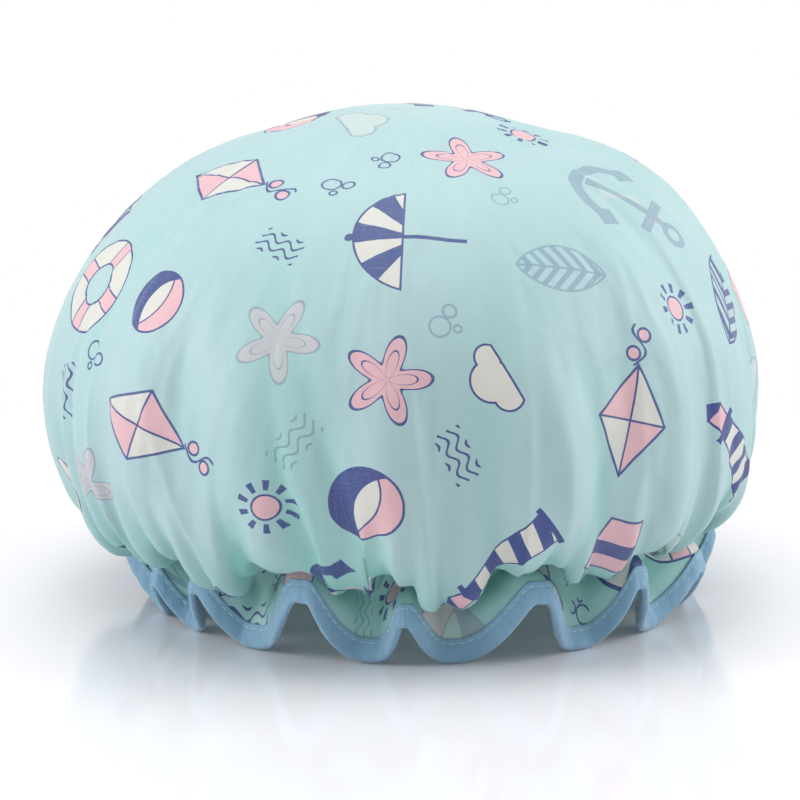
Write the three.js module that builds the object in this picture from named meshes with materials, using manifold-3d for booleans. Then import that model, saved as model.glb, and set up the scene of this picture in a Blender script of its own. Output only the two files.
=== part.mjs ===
// A bouffant shower cap, standing on its hem as it does on a shelf. Printed cloth lies over a
// waterproof film, an elastic in a stitched casing gathers both, and below it a ruffle flares in
// deep folds to an edge that is bound in folded tape. Millimetres, +Z up, -Y is the front, and
// the origin is the middle of the ground that the hem stands on.
import * as THREE from "three";
import Module from "manifold-3d";
import { mergeVertices } from "three/addons/utils/BufferGeometryUtils.js";

const wasm = await Module();
wasm.setup();

// The crown: an ellipse above its widest level, and a belly that curls under to the elastic.
const crownDiameter = 250;
const crownRise = 102;
const bellyDrop = 49;
const bellyFullness = 30;
const bellyCurl = 9;
const lipOverhang = 15;
const lipTuck = 8;
const ridgeDepth = 3.5;
const lobeDepth = 6;
const lobeLift = 12;

// The gathered opening. Its elastic is as long as a head is round.
const elasticLoopLength = 546;
const elasticWidth = 6;
const elasticWall = 1;
const elasticOverlap = 16;
const casingWidth = 9;
const gatherDepth = 1.6;
const gatherLift = 9;
const openingOffset = 6;

// The ruffle, from the lower seam of the casing to the edge, and the tape that binds it.
const ruffleDepth = 24;
const tapeWidth = 8;
const tapeWall = 0.9;
const tapeStitchInset = 1.6;
const hemRoom = 0.8;

// The ruffle in three parts, the last one under the tape: how far each swings out from straight
// down, in a trough and on a crest, and how much less a tucked trough does.
const troughTilts = [24, 22, 18].map(THREE.MathUtils.degToRad);
const crestTilts = [115, 60, 5].map(THREE.MathUtils.degToRad);
const tuckTilt = THREE.MathUtils.degToRad(5);

// The layers, the thread and the clearance between pieces that touch.
const clothWall = 0.5;
const linerWall = 0.4;
const threadDiameter = 0.5;
const seamGap = 0.3;
const footFlat = 0.5;

// The folds, in order round the hem from the left of the front: how wide each one is, how far
// its crest flares out, and how far the trough before it tucks in.
const firstTroughAngle = THREE.MathUtils.degToRad(-70);
const foldWidthShares = [14, 19, 27, 16, 30, 20, 26, 20, 24, 19, 26, 22, 24, 27, 18, 28];
const foldFlareShares = [
  0.66, 0.8, 0.96, 0.7, 0.94, 0.9, 0.72, 0.8, 0.88, 0.7, 0.8, 0.82, 0.76, 0.9, 0.74, 0.7,
];
const foldTuckShares = [
  0.4, 0.9, 0.4, 0, 0.7, 1, 0.5, 0.8, 0.1, 0.6, 1, 0.3, 0.9, 0.5, 0.2, 1,
];

// A fold has a trough at its start and a crest half way. Where it is deep, each of them is two
// corners wide. Along the tape the trough spreads and the crest closes, so that the tape keeps
// its width up the side of the fold.
const centreShares = [0, 0.5];
const centreCrestShares = [0, 1];
const centreSpreadShares = [0, 0];
const cornerShares = [-0.14, 0.14, 0.34, 0.66];
const cornerCrestShares = [0, 0, 1, 1];
const cornerSpreadShares = [-0.07, 0.07, 0.07, -0.07];

// The slopes of the crown's rows, from the top to the widest level, where the belly's row is, and
// how far the lip has already moved across to the opening.
const crownSlopes = [20, 38, 55, 73].map(THREE.MathUtils.degToRad);
const widestSlope = Math.PI / 2;
const bellyShare = 0.6;
const lipShiftShare = 0.5;

// Levels that follow from the sizes above.
const crownRadius = crownDiameter / 2;
const elasticRadius = elasticLoopLength / (2 * Math.PI);
const plainRuffleDepth = ruffleDepth - tapeWidth;
const clothHemDepth = ruffleDepth - tapeWall - hemRoom;
const lowerSeamHeight = ruffleDepth;
const upperSeamHeight = lowerSeamHeight + casingWidth;
const lipHeight = upperSeamHeight - lipTuck;
const widestHeight = lipHeight + bellyDrop;
const seamRadius = elasticRadius + elasticWall / 2 + seamGap + clothWall;
const lipRadius = seamRadius + lipOverhang;

// How far under the cloth's outer face each layer's faces lie.
const linerDepth = clothWall + seamGap;
const elasticDepth = clothWall + seamGap;
const layersDepth = linerDepth + linerWall;

// The columns of the cloth, at the given places along each fold.
function foldColumns(placeShares, crestShares, spreadShares) {
  const total = foldWidthShares.reduce((sum, share) => sum + share, 0);
  let start = firstTroughAngle;
  return foldWidthShares.flatMap((widthShare, fold) => {
    const pitch = (2 * Math.PI * widthShare) / total;
    const first = start;
    start += pitch;
    return placeShares.map((placeShare, i) => ({
      angle: first + placeShare * pitch,
      spread: spreadShares[i] * pitch,
      crest: crestShares[i] * foldFlareShares[fold],
      tuck: foldTuckShares[fold],
      ridge: crestShares[i] * 2 - 1,
    }));
  });
}
const centres = foldColumns(centreShares, centreCrestShares, centreSpreadShares);
const corners = foldColumns(cornerShares, cornerCrestShares, cornerSpreadShares);

// A point of the cloth's outer face, from its distance to the middle and its height. The opening
// sits a little to the right of the crown.
function around(radius, height, angle, shiftShare) {
  const shift = openingOffset * shiftShare;
  return new THREE.Vector3(radius * Math.sin(angle) + shift, -radius * Math.cos(angle), height);
}

// Rows of the crown: soft ridges that grow from nothing at the top.
function crownRow(slope) {
  const grown = (slope / widestSlope) ** 3;
  return centres.map(({ angle, ridge }) =>
    around(
      crownRadius * Math.sin(slope) + (ridgeDepth / 2) * grown * ridge,
      widestHeight + crownRise * Math.cos(slope),
      angle,
      0,
    ),
  );
}

// Rows of the belly, along one curve from the widest level in to the lip under it.
const bellyCurve = new THREE.CubicBezierCurve(
  new THREE.Vector2(crownRadius, widestHeight),
  new THREE.Vector2(crownRadius, widestHeight - bellyFullness),
  new THREE.Vector2(lipRadius + bellyCurl, lipHeight),
  new THREE.Vector2(lipRadius, lipHeight),
);
function bellyRow(share) {
  const at = bellyCurve.getPoint(share);
  return corners.map(({ angle, crest, ridge }) =>
    around(
      at.x + (ridgeDepth / 2) * ridge * (1 - share) + lobeDepth * crest * share,
      at.y + lobeLift * crest * share,
      angle,
      lipShiftShare * share,
    ),
  );
}

// Where the cloth lies close to the elastic. The casing rides up on the crest of each fold.
const seamPoint = (height, crest) =>
  new THREE.Vector2(seamRadius + gatherDepth * crest, height + gatherLift * crest);
function seamRow(height) {
  return centres.map(({ angle, crest }) => around(...seamPoint(height, crest), angle, 1));
}

// Rows of the ruffle, at a depth under the lower seam.
const rufflePartRuns = [plainRuffleDepth / 2, plainRuffleDepth / 2, tapeWidth];
function ruffleRow(depth) {
  const spreadShare = Math.max(depth - plainRuffleDepth, 0) / tapeWidth;
  return corners.map(({ angle, spread, crest, tuck }) => {
    const at = seamPoint(lowerSeamHeight, crest);
    let left = depth;
    rufflePartRuns.forEach((partRun, part) => {
      const troughTilt = troughTilts[part] - tuckTilt * tuck;
      const tilt = THREE.MathUtils.lerp(troughTilt, crestTilts[part], crest);
      const run = Math.min(left, partRun);
      at.x += run * Math.sin(tilt);
      at.y -= run * Math.cos(tilt);
      left -= run;
    });
    return around(at.x, at.y, angle + spread * spreadShare, 1);
  });
}

// The net of the cloth, from its top to the edge of the hem.
const crownNames = crownSlopes.map((_, i) => `crown${i}`);
const rows = {
  top: [new THREE.Vector3(0, 0, widestHeight + crownRise)],
  ...Object.fromEntries(crownSlopes.map((slope, i) => [crownNames[i], crownRow(slope)])),
  widest: crownRow(widestSlope),
  belly: bellyRow(bellyShare),
  lip: bellyRow(1),
  upperSeam: seamRow(upperSeamHeight),
  lowerSeam: seamRow(lowerSeamHeight),
  ruffle: ruffleRow(plainRuffleDepth / 2),
  tapeTop: ruffleRow(plainRuffleDepth),
  clothHem: ruffleRow(clothHemDepth),
};
const rowNames = Object.keys(rows);

// Puts the points of rings in one list and notes where each ring starts.
function placeRings(rings) {
  const points = [];
  rings.forEach((each) => {
    each.start = points.length;
    points.push(...each.points);
  });
  return points;
}

// Joins one ring to the next with triangles. The rings may have different counts of points.
function bandFaces(upper, lower) {
  const faces = [];
  const [a, b] = [upper.points.length, lower.points.length];
  let [i, j] = [0, 0];
  const at = (ringStart, count, index) => ringStart + (index % count);
  while (i < a || j < b) {
    const alongLower = a === 1 || (j < b && (j + 1) / b <= (i + 1) / a);
    if (b === 1 || (!alongLower && i < a)) {
      faces.push([at(upper.start, a, i), at(lower.start, b, j), at(upper.start, a, i + 1)]);
      i += 1;
    } else {
      faces.push([at(upper.start, a, i), at(lower.start, b, j), at(lower.start, b, j + 1)]);
      j += 1;
    }
    if (a === 1 && j === b) break;
    if (b === 1 && i === a) break;
  }
  return faces;
}

// The step from each corner of the net into the cloth, one millimetre deep square to every face
// that meets there, so that a wall keeps its thickness through the folds.
function inwardSteps() {
  const rings = rowNames.map((name) => ({ points: rows[name] }));
  const points = placeRings(rings);
  const sums = points.map(() => ({ matrix: new Array(9).fill(0), step: [0, 0, 0] }));
  for (let k = 0; k + 1 < rings.length; k++)
    bandFaces(rings[k], rings[k + 1]).forEach((face) => {
      const [a, b, c] = face.map((index) => points[index]);
      const normal = b.clone().sub(a).cross(c.clone().sub(a)).normalize().negate().toArray();
      face.forEach((index) => {
        const sum = sums[index];
        normal.forEach((m, i) => {
          sum.step[i] += m;
          normal.forEach((n, j) => {
            sum.matrix[3 * i + j] += m * n;
          });
        });
      });
    });
  const steps = sums.map(({ matrix, step }) => {
    const steadied = matrix.map((value, i) => (i % 4 === 0 ? value + steadyingShare : value));
    return new THREE.Vector3(...step).applyMatrix3(new THREE.Matrix3().set(...steadied).invert());
  });
  return Object.fromEntries(
    rings.map(({ start, points: own }, k) => [rowNames[k], steps.slice(start, start + own.length)]),
  );
}
const steadyingShare = 0.12;
const steps = inwardSteps();

// A ring of the net at a depth under the outer face. A negative depth lies outside it.
function ring(name, depth) {
  return {
    level: rowNames.indexOf(name),
    depth,
    points: rows[name].map((point, i) => point.clone().addScaledVector(steps[name][i], depth)),
  };
}

// A ring between two rows, at a share of the way down. It also bends where it crosses the
// diagonal of each face, so that it lies on the faces.
function ringBetween(upper, lower, share, depth) {
  const above = ring(upper, depth).points;
  const below = ring(lower, depth).points;
  return {
    points: above.flatMap((point, i) => [
      point.clone().lerp(below[i], share),
      point.clone().lerp(below[(i + 1) % below.length], share),
    ]),
  };
}

// A ring past the edge of the cloth, in line with the rows of the tape.
function ringPastHem(past, depth) {
  const above = ring("tapeTop", depth).points;
  const edge = ring("clothHem", depth).points;
  return {
    level: rowNames.length,
    depth,
    points: edge.map((point, i) => {
      const along = point.clone().sub(above[i]).normalize();
      return point.clone().addScaledVector(along, past);
    }),
  };
}

// A closed body from rings in order: a loop of rings is a hoop, and an open run of rings starts
// and ends in single points. A band is joined from its higher ring, or from its outer ring where
// both are level, so that the faces of every layer have the same diagonals.
function skin(rings, isLoop) {
  const vertices = placeRings(rings);
  const faces = [];
  const bands = isLoop ? rings.length : rings.length - 1;
  for (let k = 0; k < bands; k++) {
    const [first, second] = [rings[k], rings[(k + 1) % rings.length]];
    const isBack =
      second.level < first.level || (second.level === first.level && second.depth < first.depth);
    if (isBack) faces.push(...bandFaces(second, first).map(([p, q, r]) => [p, r, q]));
    else faces.push(...bandFaces(first, second));
  }
  const geometry = new THREE.BufferGeometry();
  geometry.setAttribute(
    "position",
    new THREE.Float32BufferAttribute(vertices.flatMap((v) => v.toArray()), 3),
  );
  geometry.setIndex(faces.flat());
  return facingOut(geometry);
}

// Turns the faces of a closed body round if they face in.
function facingOut(geometry) {
  const position = geometry.getAttribute("position");
  const index = geometry.getIndex().array;
  const corner = (k) => new THREE.Vector3().fromBufferAttribute(position, index[k]);
  let volume = 0;
  for (let k = 0; k < index.length; k += 3)
    volume += corner(k).dot(corner(k + 1).cross(corner(k + 2)));
  if (volume < 0)
    for (let k = 0; k < index.length; k += 3) [index[k], index[k + 1]] = [index[k + 1], index[k]];
  return geometry;
}

// A closed geometry as a manifold solid, and back.
function solidOf(geometry) {
  const bare = geometry.clone();
  bare.deleteAttribute("normal");
  bare.deleteAttribute("uv");
  const merged = mergeVertices(bare);
  return new wasm.Manifold(
    new wasm.Mesh({
      numProp: 3,
      vertProperties: new Float32Array(merged.attributes.position.array),
      triVerts: new Uint32Array(merged.index.array),
    }),
  );
}
function geometryOf(solid) {
  const mesh = solid.getMesh();
  const geometry = new THREE.BufferGeometry();
  geometry.setAttribute("position", new THREE.BufferAttribute(mesh.vertProperties, 3));
  geometry.setIndex(new THREE.BufferAttribute(mesh.triVerts, 1));
  return geometry;
}

// Where the ground meets a hem: a little above its lowest point.
function groundUnder(geometry) {
  geometry.computeBoundingBox();
  return geometry.boundingBox.min.z + footFlat;
}

// Cuts off what lies below the ground, so that the troughs stand on small flats.
function standing(geometry, ground) {
  const below = new THREE.BoxGeometry(2 * crownDiameter, 2 * crownDiameter, ruffleDepth);
  below.translate(0, 0, ground - ruffleDepth / 2);
  return geometryOf(solidOf(geometry).subtract(solidOf(below)));
}

// A layer of the cap: an outer and an inner face that meet at the hem and close at the top.
function layer(depth, wall, casingExtra) {
  const face = (at) => [
    ...["top", ...crownNames, "widest", "belly", "lip", "upperSeam"].map((name) => ring(name, at)),
    ...casingExtra(at),
    ...["lowerSeam", "ruffle", "tapeTop", "clothHem"].map((name) => ring(name, at)),
  ];
  return skin([...face(depth), ...face(depth + wall).reverse()], false);
}

// The rings of the casing that step over the elastic, at a depth for each column.
const elasticTopShare = (casingWidth - elasticWidth) / 2 / casingWidth;
function casingRing(share, depthOf) {
  return {
    level: rowNames.indexOf("upperSeam") + share,
    points: centres.map((_, i) => {
      const [above, below] = ["upperSeam", "lowerSeam"].map((name) =>
        rows[name][i].clone().addScaledVector(steps[name][i], depthOf(i)),
      );
      return above.lerp(below, share);
    }),
  };
}

// The elastic's two ends lie one on the other at the back, over whole columns.
const columnLength = elasticLoopLength / centres.length;
const overlapColumns = Math.max(1, Math.round(elasticOverlap / columnLength));
const overlapStart = centres.findIndex(({ angle }) => angle > Math.PI);
const isDoubled = (i) => {
  const past = (i - overlapStart + 1 + centres.length) % centres.length;
  return past <= overlapColumns + 1;
};
const doubledDepth = elasticWall + seamGap;
const roomForElastic = (i) => elasticWall + seamGap + (isDoubled(i) ? doubledDepth : 0);

function outerCloth() {
  return layer(0, clothWall, () => []);
}

function liner() {
  return layer(linerDepth, linerWall, (at) => [
    casingRing(elasticTopShare, (i) => at + roomForElastic(i)),
    casingRing(1 - elasticTopShare, (i) => at + roomForElastic(i)),
  ]);
}

// A strip that steps down a column before its start, so that its end lies under its start.
function elastic() {
  const sections = [];
  for (let k = 0; k <= centres.length + overlapColumns; k++) {
    const column = (overlapStart + k) % centres.length;
    const isUnder = k >= centres.length - 1;
    const depth = elasticDepth + (isUnder ? doubledDepth : 0);
    const corner = (share, at) => casingRing(share, () => at).points[column];
    sections.push({
      level: k,
      points: [
        corner(elasticTopShare, depth),
        corner(elasticTopShare, depth + elasticWall),
        corner(1 - elasticTopShare, depth + elasticWall),
        corner(1 - elasticTopShare, depth),
      ],
    });
  }
  const endOf = (section, level) => ({
    level,
    points: [
      section.points
        .reduce((sum, point) => sum.add(point), new THREE.Vector3())
        .divideScalar(section.points.length),
    ],
  });
  return skin(
    [endOf(sections[0], -1), ...sections, endOf(sections.at(-1), sections.length)],
    false,
  );
}

// The tape: a strip folded over the edge of both layers.
function tape() {
  const outside = -seamGap;
  const inside = layersDepth + seamGap;
  return skin(
    [
      ring("tapeTop", outside - tapeWall),
      ring("clothHem", outside - tapeWall),
      ringPastHem(hemRoom + tapeWall, outside),
      ringPastHem(hemRoom + tapeWall, inside),
      ring("clothHem", inside + tapeWall),
      ring("tapeTop", inside + tapeWall),
      ring("tapeTop", inside),
      ring("clothHem", inside),
      ringPastHem(hemRoom, inside),
      ringPastHem(hemRoom, outside),
      ring("clothHem", outside),
      ring("tapeTop", outside),
    ],
    true,
  );
}

// A thread of three sides that lies on a face. It takes the ring of the face and the ring a
// little deeper or further out, which gives the way off the face.
function thread(onFace, offFace) {
  const radius = threadDiameter / 2;
  const count = onFace.points.length;
  const sides = [0, 1, 2].map(() => ({ level: 0, points: [] }));
  onFace.points.forEach((foot, i) => {
    const off = offFace.points[i].clone().sub(foot);
    const reach = off.length();
    off.normalize();
    const run = onFace.points[(i + 1) % count]
      .clone()
      .sub(onFace.points[(i + count - 1) % count])
      .normalize();
    const across = off.clone().cross(run).normalize();
    const centre = foot.clone().addScaledVector(off, (seamGap + radius) * reach);
    sides.forEach((side, k) => {
      const turn = (2 * Math.PI * k) / sides.length;
      side.points.push(
        centre
          .clone()
          .addScaledVector(off, radius * Math.cos(turn))
          .addScaledVector(across, radius * Math.sin(turn)),
      );
    });
  });
  return skin(sides, true);
}

const unitDepth = 1;
const outerSeamThread = (row) => thread(ring(row, 0), ring(row, -unitDepth));
const innerSeamThread = (row) => thread(ring(row, layersDepth), ring(row, layersDepth + unitDepth));
const tapeStitchShare = tapeStitchInset / (clothHemDepth - ruffleDepth + tapeWidth);
function tapeThread(depth, away) {
  const across = (at) => ringBetween("tapeTop", "clothHem", tapeStitchShare, at);
  return thread(across(depth), across(depth + away));
}

const clothFinish = { color: 0xa9dcdc, roughness: 0.55, metalness: 0 };
const linerFinish = { color: 0xeef2f2, roughness: 0.35, metalness: 0 };
const tapeFinish = { color: 0x86b6d6, roughness: 0.7, metalness: 0 };
const elasticFinish = { color: 0xf2f2ee, roughness: 0.8, metalness: 0 };
const seamThreadFinish = { color: 0x9fd2d6, roughness: 0.7, metalness: 0 };
const tapeThreadFinish = { color: 0xb4d4e8, roughness: 0.7, metalness: 0 };

const hem = tape();
const ground = groundUnder(hem);
const cap = new THREE.Group();
cap.position.z = -ground;
function add(name, geometry, finish) {
  const mesh = new THREE.Mesh(geometry, new THREE.MeshStandardMaterial(finish));
  mesh.name = name;
  cap.add(mesh);
}

add("outer_cloth", outerCloth(), clothFinish);
add("waterproof_liner", liner(), linerFinish);
add("elastic_band", elastic(), elasticFinish);
add("edge_binding_tape", standing(hem, ground), tapeFinish);
add("upper_casing_needle_thread", outerSeamThread("upperSeam"), seamThreadFinish);
add("lower_casing_needle_thread", outerSeamThread("lowerSeam"), seamThreadFinish);
add("upper_casing_bobbin_thread", innerSeamThread("upperSeam"), seamThreadFinish);
add("lower_casing_bobbin_thread", innerSeamThread("lowerSeam"), seamThreadFinish);
add("tape_needle_thread", tapeThread(-seamGap - tapeWall, -unitDepth), tapeThreadFinish);
add("tape_bobbin_thread", tapeThread(layersDepth + seamGap + tapeWall, unitDepth), tapeThreadFinish);

export default cap;
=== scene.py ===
# %% [markdown]
# # A bouffant shower cap
#
# The cap is two discs of sheeting, printed cloth over a waterproof film. A ring of elastic
# gathers both of them, so that the middle stands up as a crown, and the part outside the ring
# becomes a ruffle that ends in folded tape. This lesson builds each of those pieces in Blender.
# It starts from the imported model, which fixes where everything lies. Lengths are in metres.

import math

import bpy
import numpy as np
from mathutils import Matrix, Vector
from mathutils import noise as perlin


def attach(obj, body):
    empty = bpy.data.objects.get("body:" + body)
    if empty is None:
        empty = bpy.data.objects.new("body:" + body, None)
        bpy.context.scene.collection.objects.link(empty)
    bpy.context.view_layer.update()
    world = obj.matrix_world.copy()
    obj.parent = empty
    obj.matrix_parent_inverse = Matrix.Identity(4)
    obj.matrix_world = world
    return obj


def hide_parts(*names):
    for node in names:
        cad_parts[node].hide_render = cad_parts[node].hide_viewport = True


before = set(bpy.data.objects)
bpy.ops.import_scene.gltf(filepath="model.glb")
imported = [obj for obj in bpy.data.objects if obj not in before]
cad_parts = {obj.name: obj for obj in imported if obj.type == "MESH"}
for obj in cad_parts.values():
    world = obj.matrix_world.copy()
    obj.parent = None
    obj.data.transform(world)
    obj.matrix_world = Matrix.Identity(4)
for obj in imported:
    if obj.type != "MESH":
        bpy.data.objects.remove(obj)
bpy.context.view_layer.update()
scene = bpy.context.scene
print("nodes:", ", ".join(sorted(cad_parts)))

# %% [markdown]
# ## Camera
#
# The photograph was taken with a long lens from a little above the cap: its edges hardly
# converge, and the top of the crown is seen at a flat angle. A lens of about 200 mm at 1.6 m
# does the same. The camera comes first, so that every later step can be looked at from the
# right place.

# %% Camera
CAMERA_DISTANCE = 1.6
CAMERA_ELEVATION = math.radians(13)
AIM = Vector((-0.001, 0.0, 0.0698))

camera = bpy.data.objects.new("camera", bpy.data.cameras.new("camera"))
camera.data.sensor_width = 36
camera.data.lens = 203
away = Vector((0, -math.cos(CAMERA_ELEVATION), math.sin(CAMERA_ELEVATION)))
camera.location = AIM + CAMERA_DISTANCE * away
camera.rotation_euler = (-away).to_track_quat("-Z", "Y").to_euler()
camera.data.clip_end = 20
scene.collection.objects.link(camera)
scene.camera = camera
print("camera at", [round(v, 3) for v in camera.location])

# %% [markdown]
# ## Helpers for shaders and meshes
#
# A material is a small program of nodes. Writing it as sums of values keeps it readable, so
# `Field` wraps one output socket and lets plain arithmetic add the nodes.

# %% A value in a node tree that can be added, multiplied and compared
class Field:
    def __init__(self, tree, socket):
        self.tree, self.socket = tree, socket

    def math(self, operation, *others):
        node = self.tree.nodes.new("ShaderNodeMath")
        node.operation = operation
        for k, value in enumerate((self, *others)):
            connect(self.tree, value, node.inputs[k])
        return Field(self.tree, node.outputs[0])

    def __add__(self, other):
        return self.math("ADD", other)

    def __sub__(self, other):
        return self.math("SUBTRACT", other)

    def __mul__(self, other):
        return self.math("MULTIPLY", other)

    def __truediv__(self, other):
        return self.math("DIVIDE", other)

    def __lt__(self, other):
        return self.math("LESS_THAN", other)

    def __gt__(self, other):
        return self.math("GREATER_THAN", other)

    def __abs__(self):
        return self.math("ABSOLUTE")


def connect(tree, value, socket):
    if isinstance(value, Field):
        tree.links.new(value.socket, socket)
    elif isinstance(value, bpy.types.NodeSocket):
        tree.links.new(value, socket)
    else:
        socket.default_value = value


def least(first, *others):
    for other in others:
        first = first.math("MINIMUM", other)
    return first


def most(first, *others):
    for other in others:
        first = first.math("MAXIMUM", other)
    return first


# %% Nodes by name, with their inputs
def add_node(tree, kind, inputs=None, **settings):
    node = tree.nodes.new(kind)
    for name, value in settings.items():
        setattr(node, name, value)
    for name, value in (inputs or {}).items():
        connect(tree, value, node.inputs[name])
    return node


def new_material(name):
    material = bpy.data.materials.new(name)
    material.use_nodes = True
    tree = material.node_tree
    return material, tree, tree.nodes["Principled BSDF"]


def noise(tree, where, scale, detail=2.0, roughness=0.5):
    node = add_node(
        tree,
        "ShaderNodeTexNoise",
        {"Vector": where, "Scale": scale, "Detail": detail, "Roughness": roughness},
    )
    return Field(tree, node.outputs[0])


# %% What most finishes need
def place_on(tree):
    return add_node(tree, "ShaderNodeTexCoord").outputs["Object"]


def set_plain(shader, **values):
    """Sets plain values by input name, with _ for each space in it."""
    for name, value in values.items():
        shader.inputs[name.replace("_", " ")].default_value = value


def bumped(tree, strength, distance, height, under=None):
    """Relief as high as the distance where the height is 1, laid over another if given."""
    inputs = {"Strength": strength, "Distance": distance, "Height": height}
    if under is not None:
        inputs["Normal"] = under
    return add_node(tree, "ShaderNodeBump", inputs).outputs[0]


def dress(tree, shader, colour, normal):
    connect(tree, colour, shader.inputs["Base Color"])
    connect(tree, normal, shader.inputs["Normal"])


def seen_directly(tree):
    """1 for rays from the camera, a mirror or clear glass, and 0 for those that carry light."""
    path = add_node(tree, "ShaderNodeLightPath")
    kinds = ("Is Camera Ray", "Is Glossy Ray", "Is Transmission Ray")
    return most(*(Field(tree, path.outputs[kind]) for kind in kinds))


def mixed(tree, share, first, second):
    """Blends two colours. The Mix node's sockets 6, 7 and 2 are the ones for colour."""
    node = add_node(tree, "ShaderNodeMix", data_type="RGBA")
    connect(tree, share, node.inputs[0])
    connect(tree, first, node.inputs[6])
    connect(tree, second, node.inputs[7])
    return node.outputs[2]


def linear(red, green, blue):
    """A screen colour, 0 to 255, as the light values that a shader takes."""
    shares = [value / 255 for value in (red, green, blue)]
    return (*(s / 12.92 if s <= 0.04045 else ((s + 0.055) / 1.055) ** 2.4 for s in shares), 1.0)


# %% A mesh from a grid of points
def grid_faces(rows, columns):
    """Quads between the rings of a grid that goes round and closes on itself."""
    k = np.arange(columns)
    after = (k + 1) % columns
    faces = []
    for row in range(rows - 1):
        top, low = row * columns, (row + 1) * columns
        faces.append(np.stack([top + k, low + k, low + after, top + after], 1))
    return np.concatenate(faces)


def mesh_object(name, points, faces):
    mesh = bpy.data.meshes.new(name)
    mesh.from_pydata(np.asarray(points).tolist(), [], [list(map(int, f)) for f in faces])
    mesh.shade_smooth()
    mesh.update()
    thing = bpy.data.objects.new(name, mesh)
    scene.collection.objects.link(thing)
    return thing


def corners_of(mesh):
    """The number of the point at each corner of each face."""
    numbers = np.empty(len(mesh.loops), int)
    mesh.loops.foreach_get("vertex_index", numbers)
    return numbers


def points_of(mesh):
    flat = np.empty(len(mesh.vertices) * 3)
    mesh.vertices.foreach_get("co", flat)
    return flat.reshape(-1, 3)


# %% [markdown]
# ## Floor and light
#
# The cap stands on a pale, slightly glossy table top with white behind it. The table is one flat
# disc, so it hides nothing from any side. Its colour gives way to pure white further out, for
# the camera and for reflections alone, so the white adds no light to the cap. From below the
# disc is clear, to let the inside be seen. A wide lamp overhead, one at each side, a weak one in
# front and a low white world give the even light of a product picture.

# %% Table top
TABLE_RADIUS = 4.0
TABLE_CORNERS = 96
rim = np.linspace(0, 2 * np.pi, TABLE_CORNERS, endpoint=False)
table_points = np.stack([TABLE_RADIUS * np.cos(rim), TABLE_RADIUS * np.sin(rim), 0 * rim], 1)
table = mesh_object("table_top", table_points, [tuple(range(TABLE_CORNERS))])

# %% Table finish
TABLE_MIDDLE = (0, -0.1, 0)
COLOUR_ENDS, ALL_WHITE = 0.28, 0.42
table_finish, tree, shader = new_material("pale table top")
set_plain(shader, Base_Color=linear(242, 240, 245), Roughness=0.12, Specular_IOR_Level=0.5)
away = add_node(tree, "ShaderNodeVectorMath", {0: place_on(tree), 1: TABLE_MIDDLE},
    operation="DISTANCE")
fading_out = add_node(tree, "ShaderNodeMapRange", {"Value": away.outputs["Value"],
    "From Min": COLOUR_ENDS, "From Max": ALL_WHITE}, interpolation_type="SMOOTHSTEP").outputs[0]
white = add_node(tree, "ShaderNodeEmission", {"Color": (1, 1, 1, 1), "Strength": 1.0})
blend = add_node(tree, "ShaderNodeMixShader", {0: Field(tree, fading_out) * seen_directly(tree),
    1: shader.outputs[0], 2: white.outputs[0]})
underneath = add_node(tree, "ShaderNodeNewGeometry").outputs["Backfacing"]
both = add_node(tree, "ShaderNodeMixShader", {0: underneath, 1: blend.outputs[0],
    2: add_node(tree, "ShaderNodeBsdfTransparent").outputs[0]})
tree.links.new(both.outputs[0], tree.nodes["Material Output"].inputs["Surface"])
table.data.materials.append(table_finish)

# %% Lamps and world
def soft_lamp(name, at, size, power, aim=(0, 0, 0.08)):
    lamp = bpy.data.lights.new(name, "AREA")
    lamp.shape = "RECTANGLE"
    lamp.size, lamp.size_y = size
    lamp.energy = power
    holder = bpy.data.objects.new(name, lamp)
    holder.location = at
    holder.rotation_euler = (Vector(aim) - Vector(at)).to_track_quat("-Z", "Y").to_euler()
    scene.collection.objects.link(holder)


soft_lamp("overhead_softbox", (-0.1, 0.1, 1.5), (1.4, 1.1), 14)
soft_lamp("left_softbox", (-1.4, -0.3, 0.6), (0.6, 0.8), 11)
soft_lamp("right_softbox", (1.4, 0.1, 0.7), (1.0, 1.1), 14.5)
soft_lamp("front_softbox", (-0.7, -1.6, 0.8), (0.8, 0.8), 1.5)

world = bpy.data.worlds.new("white room")
world.use_nodes = True
scene.world = world
air = world.node_tree
ROOM_LIGHT = 0.4
brightness = seen_directly(air) * (1 - ROOM_LIGHT) + ROOM_LIGHT
connect(air, brightness, air.nodes["Background"].inputs["Strength"])
set_plain(air.nodes["Background"], Color=(1, 1, 1, 1))
scene.view_settings.view_transform = "Standard"

# %% [markdown]
# ## The folds
#
# Elastic pulls the cloth into folds of unequal width. Each fold is given by how wide it is, how
# far its crest flares out in the ruffle and how far the trough before it tucks in. Every later
# piece asks the same functions where the cloth lies, so the layers always fit each other.

# %% Sizes
CROWN_RADIUS = 0.125
CROWN_RISE = 0.102
BELLY_DROP = 0.049
BELLY_FULLNESS = 0.030
BELLY_CURL = 0.009
LIP_OVERHANG = 0.015
LIP_TUCK = 0.008
RIDGE_DEPTH = 0.0035
LOBE_DEPTH = 0.006
LOBE_LIFT = 0.012
ELASTIC_LOOP = 0.546
ELASTIC_WALL = 0.001
ELASTIC_DEPTH = 0.0013
CASING_WIDTH = 0.009
CASING_PUFF = 0.0005
GATHER_DEPTH = 0.0016
GATHER_LIFT = 0.009
OPENING_OFFSET = 0.006
RUFFLE_DEPTH = 0.024
TAPE_WIDTH = 0.008

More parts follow.
